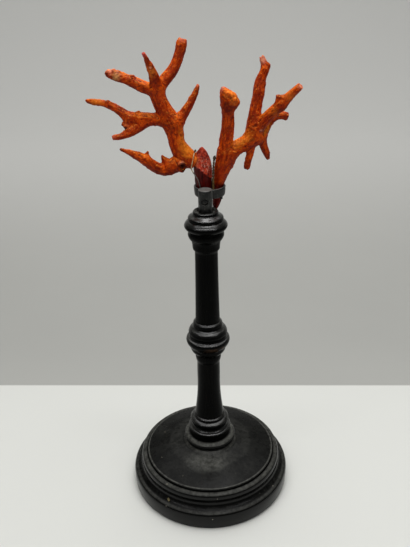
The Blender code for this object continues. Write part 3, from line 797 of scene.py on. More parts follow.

# Chipped ends: place, radius and amount. Hollows: place, radius and depth.
# Stains, with patches of painted shade and painted highlight among them: place, radius, strength
# and tint.
LEFT_ENDS = [
    (-51.0, 17.5, 272.5, 5.5, 0.32), (-46.5, 15.5, 270.5, 4.5, 0.4),
    (-43.8, 13.5, 243.6, 4.0, 0.45), (-11.0, 19.0, 288.0, 3.5, 0.22),
    (-30.5, -3.0, 284.5, 2.2, 0.25), (-64.0, 20.0, 256.6, 4.0, 0.25),
    (-51.0, 9.0, 238.3, 3.0, 0.25), (-12.8, 8.6, 220.5, 4.2, 0.4), (-23.2, 9.5, 225.5, 2.2, 0.2),
    (-2.8, 17.5, 264.4, 2.5, 0.25), (-46.5, 2.5, 233.5, 3.0, 0.2),
]
LEFT_HOLLOWS = [(-12.7, 6.6, 221.0, 2.5, 2.0), (-43.8, 11.6, 242.6, 1.6, 0.9)]
LEFT_STAINS_AND_PAINTED_LIGHT = [
    ((-9.5, 9.0, 231.0), 7.5, 0.85, OCHRE),
    ((-11.5, 8.5, 236.0), 6.0, 0.6, OCHRE),
    # The two amber patches below are a painted highlight on the lit edge beside the stump.
    ((-5.0, 9.4, 224.6), 2.6, 0.8, AMBER),
    ((-5.4, 9.6, 221.6), 2.2, 0.7, AMBER),
    ((-12.5, 9.5, 241.0), 4.5, 0.4, OCHRE),
    ((-50.5, 17.5, 274.2), 4.2, 0.9, PALE_PINK),
    ((-53.4, 17.0, 271.4), 2.4, 0.85, DEEP_RED),
    ((-48.9, 15.2, 269.4), 1.6, 0.7, DEEP_RED),
    ((-47.5, 15.0, 270.8), 3.6, 0.85, TAN),
    ((-46.6, 15.6, 272.6), 1.5, 0.8, PALE_PINK),
    ((-30.6, -2.9, 284.6), 2.6, 0.95, ROSE),
    ((-27.4, 2.5, 273.5), 6.0, 0.7, AMBER),
    ((-27.8, 1.0, 277.0), 1.2, 0.8, PALE_PINK),
    ((-28.2, -0.5, 281.0), 1.8, 0.6, CORE_RED),
    # The two core-red patches below are painted shade on the shaded side of the crown-right limb.
    ((-16.4, 13.5, 273.5), 6.5, 0.45, CORE_RED),
    ((-12.2, 15.5, 281.5), 7.0, 0.5, CORE_RED),
    ((-10.8, 18.0, 289.2), 3.4, 0.9, PINK),
    ((-2.8, 17.2, 264.9), 2.2, 0.95, PINK),
    ((-2.9, 16.0, 262.0), 3.2, 0.8, DEEP_RED),
    ((-4.2, 14.8, 258.6), 4.5, 0.72, DEEP_RED),
    ((-7.0, 12.8, 253.5), 5.0, 0.7, CORE_RED),
    ((-60.0, 18.0, 257.2), 6.0, 0.6, OCHRE),
    ((-53.4, 17.0, 256.8), 2.2, 0.75, DEEP_RED),
    ((-43.8, 12.6, 243.6), 3.8, 0.85, GREY_BROWN),
    ((-43.8, 11.6, 242.4), 1.8, 0.8, SHADOW),
    # The two core-red patches below are painted shade on the lower side of the fork.
    ((-36.5, 10.5, 241.5), 5.0, 0.45, CORE_RED),
    ((-44.5, 8.5, 237.6), 5.0, 0.5, CORE_RED),
    ((-51.3, 8.4, 238.6), 3.0, 0.75, PINK),
    ((-13.2, 6.8, 223.5), 2.0, 0.7, PALE_PINK),
    ((-12.6, 7.0, 220.8), 3.3, 1.0, SHADOW),
    ((-12.4, 6.6, 221.2), 3.0, 1.0, SHADOW),
    ((-11.6, 7.6, 219.2), 3.0, 1.0, SHADOW),
    ((-46.2, 2.2, 233.4), 2.6, 0.8, DEEP_RED),
    ((-23.9, 9.0, 226.6), 2.0, 0.7, CORE_RED),
    ((-31.8, 4.8, 230.4), 1.8, 0.6, DEEP_RED),
    # The three deep-red patches below are painted shade along the underside of the low limb.
    ((-16.5, 8.5, 217.4), 4.0, 0.65, DEEP_RED),
    ((-21.2, 8.0, 216.2), 5.5, 0.75, DEEP_RED),
    ((-27.0, 6.0, 218.2), 4.5, 0.6, DEEP_RED),
    ((-17.5, 8.5, 250.0), 3.4, 0.5, CORE_RED),
    ((-24.0, 9.5, 259.5), 5.5, 0.5, CORE_RED),
    ((-9.8, 12.0, 249.0), 4.5, 0.55, CORE_RED),
]
RIGHT_ENDS = [
    (10.3, 4.0, 265.0, 3.0, 0.25), (17.0, 5.0, 258.0, 4.0, 0.25), (13.5, 3.5, 260.5, 4.5, 0.25),
    (33.3, 20.0, 277.5, 4.5, 0.35), (36.2, 19.4, 274.4, 2.0, 0.3), (53.0, 6.2, 265.4, 3.4, 0.25),
    (41.9, 9.3, 259.8, 2.6, 0.35), (47.8, 23.0, 245.0, 3.2, 0.35), (24.4, 11.8, 218.0, 3.2, 0.35),
    (37.8, 19.3, 221.2, 3.0, 0.35),
]
RIGHT_STAINS_AND_PAINTED_LIGHT = [
    ((19.0, 10.5, 234.0), 5.5, 0.8, OCHRE),
    ((24.0, 10.5, 237.5), 6.0, 0.55, OCHRE),
    ((10.2, 3.4, 265.2), 2.8, 0.95, PINK),
    ((10.0, 2.8, 265.8), 1.7, 0.8, PALE_PINK),
    # The two amber patches below are a painted highlight on the top of the post's head.
    ((13.0, 3.0, 262.4), 3.6, 0.8, AMBER),
    ((16.0, 3.2, 260.2), 4.8, 0.9, AMBER),
    ((12.6, 2.8, 258.0), 1.3, 0.8, PALE_PINK),
    # Painted shadow under the overhanging head of the post.
    ((13.2, 2.8, 253.8), 4.2, 0.65, DEEP_RED),
    ((32.6, 18.6, 277.4), 3.6, 0.85, PALE_PINK),
    ((31.6, 18.8, 278.6), 1.4, 0.8, PINK),
    ((36.0, 18.6, 274.4), 2.4, 0.9, DEEP_RED),
    ((28.0, 12.6, 247.0), 6.5, 0.72, CORE_RED),
    ((29.5, 13.8, 257.0), 7.0, 0.7, CORE_RED),
    ((31.5, 15.6, 266.0), 6.0, 0.7, CORE_RED),
    ((38.5, 8.0, 251.5), 4.5, 0.3, OCHRE),
    ((46.8, 5.6, 260.2), 4.5, 0.35, AMBER),
    ((53.4, 5.6, 265.6), 3.3, 0.95, PALE_PINK),
    ((41.9, 8.6, 259.8), 3.8, 0.95, DEEP_RED),
    ((43.0, 8.0, 252.0), 3.6, 0.45, DEEP_RED),
    ((47.6, 22.0, 245.6), 4.0, 0.8, DEEP_RED),
    # A painted highlight between the high and the low limb.
    ((32.0, 10.4, 240.2), 1.5, 0.75, PALE_PINK),
    ((32.6, 9.6, 243.2), 2.4, 0.6, DEEP_RED),
    ((34.6, 17.0, 240.0), 6.0, 0.7, OCHRE),
    ((24.4, 11.4, 218.6), 3.6, 0.75, DEEP_RED),
    ((37.2, 18.6, 222.6), 3.6, 0.65, DEEP_RED),
    ((9.6, 8.6, 216.0), 6.0, 0.5, ORANGE_RED),
]
CORE_STAINS_AND_PAINTED_LIGHT = [
    # The first two patches are a painted highlight on the lit left edge of the stump.
    ((-4.6, 10.0, 224.4), 2.8, 0.95, LIT_EDGE_HIGHLIGHT),
    ((-5.4, 9.6, 220.6), 2.4, 0.8, LIT_EDGE_SOFT_HIGHLIGHT),
    ((-1.4, 12.0, 229.6), 1.8, 0.6, CORE_PINK),
]


def coral_branch(limbs, ends, stain_and_light_patches, seed, voxel, hollows=(), bare_below=0.0, against=()):
    """One branch: its skin is grown, weathered, chipped, stained and given painted shade and
    highlights, and its foot left bare.
    """
    skin = Skin(limbs, voxel, web=0.75, against=against)
    skin.relax(4)
    skin.hug()
    skin.relax(3)
    skin.hug()
    skin.relax(2)
    weather(skin, seed, smooth_below=bare_below)
    roughen(skin, ends, seed + 50)
    hollow(skin, hollows)
    skin.relax(1)
    stains_and_painted_light(skin, stain_and_light_patches, seed + 70)
    edge = skin.noise(2.2, seed=seed + 30, octaves=2) * 1.4
    skin.fields["bare"] = np.clip((bare_below + 1.0 + edge - skin.co[:, 2]) / 1.2, 0, 1)
    return skin.keep()


# The split face of the core: a point on it, the way it faces, the height of its lower edge in
# the middle, the slope of that edge, and where it is speckled most, and how widely.
SPLIT_POINT = np.array([-1.3, 13.2, 229.6])
SPLIT_WAY = unit(np.array([0.06, -0.94, 0.34]))
SPLIT_FOOT = 217.3
SPLIT_SLOPE = -0.85
SPECKLED = np.array([1.5, 9.8, 220.0])
SPECKLED_REACH = 8.0


def core_stump():
    """The bare core: a split and speckled point over a smooth dark foot."""
    skin = Skin([Limb(CORE)], 0.2, web=0.5)
    skin.relax(3)
    skin.hug()
    lumps = skin.noise(4.5, seed=3.0, octaves=2)
    skin.co += (0.3 * lumps)[:, None] * skin.normals()
    ragged = skin.noise(1.8, seed=8.0, octaves=3)
    foot = SPLIT_FOOT + SPLIT_SLOPE * (skin.co[:, 0] - SPLIT_POINT[0]) + 0.9 * ragged
    above = np.clip((skin.co[:, 2] - foot) / 0.7 + 0.5, 0, 1)
    skin.fields["split"] = above
    proud = np.maximum((skin.co - SPLIT_POINT) @ SPLIT_WAY, 0)
    skin.co -= (above * proud)[:, None] * SPLIT_WAY
    scratches = skin.noise(1.0, seed=21.0, octaves=3)
    skin.co += (0.14 * above * scratches)[:, None] * skin.normals()
    skin.co += (0.25 * falloff(np.abs(skin.co[:, 2] - foot), 1.4))[:, None] * skin.normals()
    skin.relax(2)
    stains_and_painted_light(skin, CORE_STAINS_AND_PAINTED_LIGHT, 5.0)
    away = np.linalg.norm(skin.co - SPECKLED, axis=1)
    skin.fields["speckled"] = np.clip(falloff(away, SPECKLED_REACH) + 0.2, 0, 1)
    return skin.keep()


# ---------------------------------------------------------------- tie wires


def strand(points, radius, twist=0.0, phase=0.0, pitch=3.4):
    """A wire along the route, or one strand of a pair that winds about it."""
    places = flow([(*point, radius) for point in points], step=0.35)[:, :3]
    way = unit(np.gradient(places, axis=0))
    along = np.concatenate([[0], np.cumsum(np.linalg.norm(np.diff(places, axis=0), axis=1))])
    side = unit(np.cross(way, np.array([0.3, 0.2, 0.93])))
    over = np.cross(way, side)
    turns = (math.tau * along / pitch + phase)[:, None]
    places = places + twist * (np.cos(turns) * side + np.sin(turns) * over)
    wire = tube(places, [radius] * len(places), resolution=3)
    bpy.ops.object.shade_smooth()
    return wire


def knot(middle, size, radius):
    """A tight little tangle of wire ends."""
    x, y, z = middle
    points = []
    for step in range(26):
        turned, t = 1.15 * step, step / 25
        wide = size * (1.0 - 0.45 * t)
        points.append((x + wide * math.cos(turned), y + 0.8 * wide * math.sin(turned),
                       z + size * (1.5 * t - 0.6) + 0.2 * wide * math.sin(2.3 * turned)))
    points.append((x + 0.6 * size, y - 0.3 * size, z + 1.7 * size))
    return strand(points, radius)


def make_left_wire():
    """One bent wire with its knot."""
    return joined(knot(LEFT_KNOT, 0.52, 0.2), strand(LEFT_WIRE, 0.29))


def make_right_wire():
    """Two strands wound on each other, with their knot."""
    pieces = [knot(RIGHT_KNOT, 0.85, 0.27)]
    for phase in (0.0, math.pi):
        pieces.append(strand(RIGHT_WIRE, 0.3, twist=0.3, phase=phase))
    return joined(*pieces)


# ---------------------------------------------------------------- finishes


# Tints are linear red, green and blue.


class Finish:
    """A small helper that builds a node material step by step."""

    def __init__(self, name, roughness=0.5, metallic=0.0, specular=0.5):
        self.mat = bpy.data.materials.new(name)
        self.mat.use_nodes = True
        self.nodes = self.mat.node_tree.nodes
        self.links = self.mat.node_tree.links
        self.shader = self.nodes["Principled BSDF"]
        self.shader.inputs["Roughness"].default_value = roughness
        self.shader.inputs["Metallic"].default_value = metallic
        self.shader.inputs["Specular IOR Level"].default_value = specular
        self.place = self.nodes.new("ShaderNodeTexCoord").outputs["Object"]

    def plug(self, socket, value):
        """Links a node's output to the socket, or sets a plain value on it."""
        if isinstance(value, bpy.types.NodeSocket):
            self.links.new(value, socket)
        elif value is not None:
            socket.default_value = value

    def attribute(self, name, output="Fac"):
        """A field that was written on the mesh."""
        node = self.nodes.new("ShaderNodeAttribute")
        node.attribute_name = name
        return node.outputs[output]

    def axes(self):
        """The place on the piece, as across, away and up."""
        node = self.nodes.new("ShaderNodeSeparateXYZ")
        self.links.new(self.place, node.inputs[0])
        return node.outputs["X"], node.outputs["Y"], node.outputs["Z"]

    def stretched(self, vector, scale):
        """The vector scaled along each axis, so that a pattern is drawn out."""
        node = self.nodes.new("ShaderNodeMapping")
        node.inputs["Scale"].default_value = scale
        self.links.new(vector, node.inputs["Vector"])
        return node.outputs["Vector"]

    def noise(self, scale, detail=3.0, roughness=0.55, vector=None, distortion=0.0):
        """Cloudy noise, scale lumps to the metre."""
        node = self.nodes.new("ShaderNodeTexNoise")
        node.inputs["Scale"].default_value = scale
        node.inputs["Detail"].default_value = detail
        node.inputs["Roughness"].default_value = roughness
        node.inputs["Distortion"].default_value = distortion
        self.links.new(vector or self.place, node.inputs["Vector"])
        return node.outputs["Fac"]

    def cells(self, scale, vector=None):
        """Distance to the nearest of many scattered points."""
        node = self.nodes.new("ShaderNodeTexVoronoi")
        node.inputs["Scale"].default_value = scale
        self.links.new(vector or self.place, node.inputs["Vector"])
        return node.outputs["Distance"]

    def band(self, value, low, high, out_low=0.0, out_high=1.0):
        """A soft step from one output to the other as the value goes from low to high."""
        node = self.nodes.new("ShaderNodeMapRange")
        node.interpolation_type = "SMOOTHSTEP"
        node.inputs["From Min"].default_value = low
        node.inputs["From Max"].default_value = high
        node.inputs["To Min"].default_value = out_low
        node.inputs["To Max"].default_value = out_high
        self.links.new(value, node.inputs["Value"])
        return node.outputs["Result"]

    def between(self, value, low, high, rise, fall):
        """1 between low and high, with soft edges this wide inside them, in millimetres."""
        start = self.band(value, low * MM, (low + rise) * MM)
        end = self.band(value, high * MM, (high - fall) * MM)
        return self.times(start, end)

    def reckon(self, operation, first, second=None):
        """One step of arithmetic."""
        node = self.nodes.new("ShaderNodeMath")
        node.operation = operation
        self.plug(node.inputs[0], first)
        self.plug(node.inputs[1], second)
        return node.outputs[0]

    def times(self, *values):
        """The product of these values."""
        product = values[0]
        for value in values[1:]:
            product = self.reckon("MULTIPLY", product, value)
        return product

    def blend(self, factor, first, second):
        """The first colour at 0, the second at 1."""
        node = self.nodes.new("ShaderNodeMix")
        node.data_type = "RGBA"
        self.plug(node.inputs["Factor"], factor)
        for socket, value in ((node.inputs["A"], first), (node.inputs["B"], second)):
            self.plug(socket, (*value, 1) if isinstance(value, tuple) else value)
        return node.outputs["Result"]

    def over(self, colour, tint, *amounts):
        """The tint laid over the colour, by the product of these amounts."""
        return self.blend(self.times(*amounts), colour, tint)

    def up(self, low=0.1, high=0.95):
        """How far the surface faces up, from 0 to 1."""
        geometry = self.nodes.new("ShaderNodeNewGeometry")
        split = self.nodes.new("ShaderNodeSeparateXYZ")
        self.links.new(geometry.outputs["Normal"], split.inputs[0])
        return self.band(split.outputs["Z"], low, high)

    def from_axis(self):
        """Distance from the upright axis through the origin."""
        node = self.nodes.new("ShaderNodeVectorMath")
        node.operation = "LENGTH"
        self.links.new(self.stretched(self.place, (1.0, 1.0, 0.0)), node.inputs[0])
        return node.outputs["Value"]

    def spots(self, places, ragged):
        """1 inside ragged little spots: each place is x, y, z and radius in millimetres."""
        total = None
        for x, y, z, radius in places:
            node = self.nodes.new("ShaderNodeVectorMath")
            node.operation = "DISTANCE"
            node.inputs[1].default_value = (x * MM, y * MM, z * MM)
            self.links.new(self.place, node.inputs[0])
            away = self.reckon("ADD", node.outputs["Value"], self.times(ragged, radius * MM))
            spot = self.band(away, 1.5 * radius * MM, 1.15 * radius * MM)
            total = spot if total is None else self.reckon("MAXIMUM", total, spot)
        return total

    def bump(self, height, distance, strength=1.0, after=None):
        """Relief of this depth in metres, over the relief made before it."""
        node = self.nodes.new("ShaderNodeBump")
        node.inputs["Distance"].default_value = distance
        node.inputs["Strength"].default_value = strength
        self.links.new(height, node.inputs["Height"])
        if after is not None:
            self.links.new(after, node.inputs["Normal"])
        return node.outputs["Normal"]

    def gloss(self, value, least, most):
        """A specular level that goes from the least to the most as the value goes from 0 to 1."""
        self.plug(self.shader.inputs["Specular IOR Level"], self.band(value, 0, 1, least, most))

    def wear(self, colour=None, roughness=None, normal=None):
        """Joins the finished channels to the shader and gives the material."""
        self.plug(self.shader.inputs["Base Color"], colour)
        self.plug(self.shader.inputs["Roughness"], roughness)
        self.plug(self.shader.inputs["Normal"], normal)
        return self.mat


# Pale specks that stick to the base and to the column: x, y, height and radius.
BASE_SPECKS = [
    (-28.5, -35.5, 22.1, 0.34), (-29.3, -43.4, 11.0, 0.3), (3.9, -47.0, 19.8, 0.3),
    (0.5, -52.9, 8.4, 0.36), (41.2, -28.7, 11.9, 0.3), (-31.8, 10.2, 26.6, 0.3),
    (-32.7, -14.5, 25.9, 0.24), (-18.1, -32.2, 25.6, 0.2), (22.5, 30.0, 27.6, 0.3),
    (-6.0, 44.5, 21.9, 0.34), (51.0, 12.5, 9.0, 0.3), (-44.0, 27.5, 12.6, 0.3),
]
COLUMN_SPECKS = [
    (3.8, -8.6, 193.3, 0.35), (5.7, -8.3, 192.9, 0.2), (2.3, -9.4, 193.2, 0.18),
    (6.7, -7.2, 193.2, 0.22), (4.9, -9.0, 192.5, 0.18), (-8.6, 4.1, 192.7, 0.3),
    (-5.0, -11.9, 112.0, 0.3), (4.0, 12.6, 108.5, 0.3), (-3.0, -12.9, 41.8, 0.3),
]
# Dust in rings on the base, partly a painted highlight: inner and outer radius, and how thick.
DUST_AND_SHEEN_RINGS = [
    (13.5, 18.4, 0.34), (17.0, 29.0, 0.05), (41.8, 43.3, 0.3), (43.3, 47.6, 0.2),
    (49.6, 52.6, 0.11),
]
# Grey of dust, also laid as a painted highlight on the wood.
DUST_AND_SHEEN_GREY = (0.32, 0.32, 0.285)
SPECK = (0.30, 0.28, 0.22)
WOOD_BLACK = (0.0008, 0.0009, 0.0008)
WOOD_GRAIN = (0.003, 0.0029, 0.0025)
WORN_BROWN = (0.060, 0.033, 0.019)
CHIP_WOOD = (0.20, 0.165, 0.085)


def stained_wood(wood, grain_way, dust_and_sheen_amount):
    """Black stain over a faint grain, dusty on what faces up, the dust partly a painted highlight.
    Gives colour, grain and dust.
    """
    grain = wood.noise(900.0, 4.0, 0.6, wood.stretched(wood.place, grain_way), 0.4)
    motes = wood.noise(330.0, 6.0, 0.75)
    smear = wood.band(wood.noise(70.0, 4.0, 0.65), 0.35, 0.7, 0.25, 1.0)
    # Dust on what faces up, partly a painted highlight.
    dust_and_sheen = wood.times(wood.up(0.45, 0.98), wood.band(motes, 0.3, 0.75, 0.25, 1.0))
    colour = wood.blend(wood.band(grain, 0.45, 0.8), WOOD_BLACK, WOOD_GRAIN)
    return wood.over(colour, DUST_AND_SHEEN_GREY, dust_and_sheen, smear, dust_and_sheen_amount), grain, dust_and_sheen


def waxed(wood, colour, grain, dust_and_sheen, specks, dulled):
    """Pale specks and flecks, a wax sheen that dust dulls, and the relief of the grain."""
    colour = wood.blend(wood.spots(specks, wood.noise(900.0, 3.0)), colour, SPECK)
    flecks = wood.band(wood.cells(420.0), 0.07, 0.02)
    colour = wood.over(colour, SPECK, flecks, wood.band(wood.noise(38.0, 1.0), 0.6, 0.7), 0.6)
    rough = wood.band(wood.noise(130.0, 4.0), 0.25, 0.8, 0.16, 0.26)
    rough = wood.reckon("ADD", rough, wood.times(dust_and_sheen, dulled))
    normal = wood.bump(grain, 0.00006, 0.5)
    normal = wood.bump(wood.noise(1400.0, 2.0), 0.00003, 0.4, normal)
    return wood.wear(colour, rough, normal)


def ebonised_column():
    """The column's black wood: glossy where it faces up, its dust there partly a painted highlight,
    worn brown on the middle knop.
    """
    wood = Finish("ebonised_column")
    wood.gloss(wood.up(0.15, 0.6), 0.035, 0.56)
    colour, grain, dust_and_sheen = stained_wood(wood, (1.0, 1.0, 0.06), 0.22)
    across, _, lift = wood.axes()
    belt = wood.between(lift, 106.4, 111.0, 1.2, 0.8)
    side = wood.between(across, -4.0, 12.8, 6.0, 3.3)
    patchy = wood.band(wood.noise(300.0, 5.0, 0.7), 0.35, 0.65)
    colour = wood.over(colour, WORN_BROWN, belt, side, patchy, 0.75)
    return waxed(wood, colour, grain, dust_and_sheen, COLUMN_SPECKS, 0.06)


def ebonised_base():
    """The base's black wood: duller on top, dusty in its grooves and on its front, the dust partly
    a painted highlight, chipped.
    """
    wood = Finish("ebonised_base")
    wood.gloss(wood.up(0.9, 0.6), 0.07, 0.22)
    colour, grain, dust_and_sheen = stained_wood(wood, (0.08, 1.0, 1.0), 0.05)
    out = wood.from_axis()
    for inner, outer, amount in DUST_AND_SHEEN_RINGS:
        soft = min(2.5, 0.35 * (outer - inner))
        ring = wood.between(out, inner, outer, soft, soft)
        colour = wood.over(colour, DUST_AND_SHEEN_GREY, ring, dust_and_sheen, amount)
    across, away, _ = wood.axes()
    # Dust on the dome's front, partly a painted highlight.
    front = wood.times(wood.band(away, -12 * MM, -24 * MM), wood.band(out, 34 * MM, 26 * MM))
    middle = wood.between(across, -22.0, 18.0, 14.0, 14.0)
    colour = wood.over(colour, DUST_AND_SHEEN_GREY, front, middle, dust_and_sheen, 0.24)
    colour = wood.blend(wood.spots([(*CHIP, 1.2)], wood.noise(900.0, 3.0)), colour, CHIP_WOOD)
    return waxed(wood, colour, grain, dust_and_sheen, BASE_SPECKS, 0.15)


IRON_BLACK = (0.008, 0.0085, 0.0085)
IRON_BROWN = (0.03, 0.027, 0.023)
IRON_SCUFF_AND_REFLECTION = (0.15, 0.15, 0.14)
IRON_DUST_AND_TOP_LIGHT = (0.21, 0.205, 0.19)


def black_iron(name, scuff_and_reflection):
    """Blackened iron: browned, scuffed, a painted reflection along its sides, a little dust and
    painted light on top.
    """
    iron = Finish(name, metallic=0.2, specular=0.3)
    colour = iron.blend(iron.band(iron.noise(420.0, 5.0, 0.7), 0.5, 0.72), IRON_BLACK, IRON_BROWN)
    scratch = iron.noise(700.0, 5.0, 0.75, iron.stretched(iron.place, (1.0, 1.0, 0.35)))
    scuff = iron.band(scratch, 0.5, 0.66)
    across, _, _ = iron.axes()
    # Scuffs everywhere, and a painted reflection along the left and right sides.
    sides = iron.band(iron.reckon("ABSOLUTE", across), 2.8 * MM, 4.0 * MM, 0.35, 1.0)
    colour = iron.over(colour, IRON_SCUFF_AND_REFLECTION, scuff, sides, scuff_and_reflection)
    motes = iron.band(iron.noise(500.0, 4.0), 0.3, 0.7, 0.45, 1.0)
    # Dust on what faces up, partly painted light.
    colour = iron.over(colour, IRON_DUST_AND_TOP_LIGHT, iron.up(0.5, 0.95), motes, 0.75)
    rough = iron.band(iron.noise(500.0, 3.0), 0.3, 0.75, 0.3, 0.5)
    return iron.wear(colour, rough, iron.bump(iron.noise(900.0, 4.0), 0.0001, 0.6))


BARK_RED = (0.31, 0.017, 0.0008)
BARK_ORANGE = (0.70, 0.078, 0.0015)
BARK_CLOUD = (0.22, 0.012, 0.0008)
BARK_PAINTED_HIGHLIGHT = (0.95, 0.20, 0.004)
BARK_STREAK = (0.15, 0.008, 0.001)
BARK_CUP_HIGHLIGHT = (0.90, 0.20, 0.010)
BARK_BLOTCH = (0.12, 0.010, 0.002)
BARK_PAINTED_SHADE = (0.12, 0.007, 0.002)
BARK_GLINT_FLECK = (1.0, 0.36, 0.05)
BARK_PIT = (0.055, 0.006, 0.003)
BARE_RED = (0.16, 0.009, 0.005)
BARE_DARK = (0.05, 0.003, 0.003)


def bark_ground(bark, grain, mottle, streak):
    """Orange mottled with red, a painted highlight on upward lump tops and raised cups, painted
    shade beneath.
    """
    colour = bark.blend(bark.band(mottle, 0.38, 0.60), BARK_RED, BARK_ORANGE)
    colour = bark.over(colour, BARK_CLOUD, bark.band(bark.noise(120.0, 4.0, 0.65), 0.42, 0.66), 0.7)
    lump = bark.band(bark.attribute("lump"), 0.32, 0.78)
    # Painted highlight where the lumps face up.
    colour = bark.over(colour, BARK_PAINTED_HIGHLIGHT, bark.up(), lump, 0.8)
    colour = bark.over(colour, BARK_STREAK, bark.band(streak, 0.52, 0.68), 0.7)
    # Painted highlight on the raised cups.
    colour = bark.over(colour, BARK_CUP_HIGHLIGHT, bark.attribute("cup"), 0.22)
    blotch = bark.noise(850.0, 5.0, 0.75, bark.stretched(grain, (1.0, 1.0, 0.45)))
    colour = bark.over(colour, BARK_BLOTCH, bark.band(blotch, 0.53, 0.63), 0.72)
    # Painted shade on what faces down.
    return bark.over(colour, BARK_PAINTED_SHADE, bark.up(0.1, -0.7), 0.6)


def bark_patches(bark, colour, streak):
    """The bare red root, and the stains of broken and weathered places, with patches of painted
    shade and painted highlight among them.
    """
    bare = bark.blend(bark.band(streak, 0.4, 0.65), BARE_RED, BARE_DARK)
    colour = bark.blend(bark.attribute("bare"), colour, bare)
    patchy = bark.band(bark.noise(900.0, 4.0, 0.7), 0.25, 0.6, 0.6, 1.0)
    stain_and_light_amount = bark.attribute("stains_and_painted_light", "Alpha")
    return bark.over(colour, bark.attribute("stains_and_painted_light", "Color"), stain_and_light_amount, patchy)


def bark_marks(bark, colour, grain):
    """Pale flecks painted as glints on what faces up, then short dark dashes, and the pits painted
    dark as shade.
    """
    crumb = bark.noise(1500.0, 4.0, 0.7, bark.stretched(grain, (1.0, 1.0, 0.6)))
    # Painted glints: pale flecks only where the bark faces up.
    colour = bark.over(colour, BARK_GLINT_FLECK, bark.band(crumb, 0.52, 0.64), bark.up(-0.1, 0.8), 0.6)
    dashes = bark.band(bark.cells(380.0, bark.stretched(grain, (1.0, 1.0, 0.3))), 0.26, 0.1)
    some = bark.band(bark.noise(260.0, 2.0), 0.56, 0.64)
    # The dashes are dark marks in the bark; the pits are painted shade.
    dark = bark.reckon("MAXIMUM", bark.times(dashes, some), bark.attribute("pit"))
    return bark.over(colour, BARK_PIT, dark, 0.8)


def coral_bark(name):
    """Dried orange bark, mottled and streaked along each limb, over bare red core."""
    bark = Finish(name, specular=0.08)
    grain = bark.attribute("grain", "Vector")
    mottle = bark.noise(430.0, 5.0, 0.7, bark.stretched(grain, (1.0, 1.0, 0.5)))
    streak = bark.noise(620.0, 3.0, 0.6, bark.stretched(grain, (1.0, 1.0, 0.16)), 0.4)
    colour = bark_ground(bark, grain, mottle, streak)
    colour = bark_patches(bark, colour, streak)
    colour = bark_marks(bark, colour, grain)
    rough = bark.band(mottle, 0.3, 0.7, 0.42, 0.6)
    normal = bark.bump(bark.noise(1500.0, 4.0, 0.7), 0.00012, 0.6)
    normal = bark.bump(streak, 0.00014, 0.6, normal)
    return bark.wear(colour, rough, normal)


CORE_SATIN = (0.11, 0.004, 0.0025)
CORE_DARK = (0.032, 0.0016, 0.0013)
SPLIT_RED = (0.51, 0.047, 0.016)
SPLIT_DARK = (0.14, 0.007, 0.004)
SPLIT_SPECK = (0.60, 0.23, 0.16)
SPLIT_DOT = (0.07, 0.006, 0.004)


def coral_core(name):
    """Satin dark-red core, paler and speckled on the split face."""
    core = Finish(name, specular=0.13)
    grain = core.attribute("grain", "Vector")
    streak = core.noise(700.0, 3.0, 0.6, core.stretched(grain, (1.0, 1.0, 0.12)))
    satin = core.blend(core.band(streak, 0.4, 0.65), CORE_SATIN, CORE_DARK)
    split = core.blend(core.band(core.noise(420.0, 5.0, 0.7), 0.38, 0.62), SPLIT_RED, SPLIT_DARK)
    split = core.blend(core.attribute("stains_and_painted_light", "Alpha"), split, core.attribute("stains_and_painted_light", "Color"))
    speck = core.noise(950.0, 5.0, 0.8, core.stretched(core.place, (1.0, 1.0, 0.6)))
    split = core.over(split, SPLIT_SPECK, core.band(speck, 0.51, 0.61), core.attribute("speckled"))
    dot = core.band(core.noise(1100.0, 4.0, 0.7), 0.46, 0.36)
    split = core.over(split, SPLIT_DOT, dot, 0.7)
    colour = core.blend(core.attribute("split"), satin, split)
    rough = core.band(core.attribute("split"), 0.0, 1.0, 0.42, 0.6)
    return core.wear(colour, rough, core.bump(core.noise(1600.0, 4.0), 0.0001, 0.5))


STRAW = (0.80, 0.60, 0.32)
DULL_GREY = (0.20, 0.17, 0.15)
DULL_BROWN = (0.12, 0.07, 0.03)
BRASS = (0.42, 0.27, 0.09)
WIRE_TARNISH = (0.06, 0.045, 0.03)
WIRE_KNOT = (0.05, 0.04, 0.02)


def tie_wire(name, upper, lower, change_at, knot_above):
    """Old tie wire: a dark knot, one tint under it and another towards its lower end."""
    wire = Finish(name, metallic=0.6)
    _, _, lift = wire.axes()
    low = wire.band(lift, (change_at + 2.0) * MM, (change_at - 1.0) * MM)
    tarnish = wire.band(wire.noise(900.0, 3.0), 0.35, 0.7)
    colour = wire.over(wire.blend(low, upper, lower), WIRE_TARNISH, tarnish, 0.6)
    high = wire.band(lift, (knot_above - 0.4) * MM, (knot_above + 0.4) * MM)
    colour = wire.blend(high, colour, WIRE_KNOT)
    rough = wire.band(tarnish, 0.0, 1.0, 0.35, 0.6)
    return wire.wear(colour, rough, wire.bump(tarnish, 0.00005, 0.5))


TABLE_TOP = (0.645, 0.65, 0.615)
BACKDROP_DARK = (0.345, 0.345, 0.325)
BACKDROP_GREY = (0.375, 0.375, 0.35)
BACKDROP_PALE = (0.60, 0.60, 0.575)
# How far behind the middle of the stand the table top gives way to paper, and the slant there.
TABLE_EDGE = (0.0998, 0.1014)
TABLE_SLANT = 0.034


def table_and_backdrop():
    """A pale table top, then grey paper from a slightly slanted edge, paler further back."""
    sheet = Finish("table_and_backdrop", roughness=0.75)
    across, away, _ = sheet.axes()
    edge = sheet.band(sheet.reckon("ADD", away, sheet.times(across, TABLE_SLANT)), *TABLE_EDGE)
    paper = sheet.blend(sheet.noise(7.0), BACKDROP_DARK, BACKDROP_GREY)
    paper = sheet.blend(sheet.band(away, 0.2, 0.9), paper, BACKDROP_PALE)
    return sheet.wear(sheet.blend(edge, TABLE_TOP, paper))


# ---------------------------------------------------------------- camera, table and light

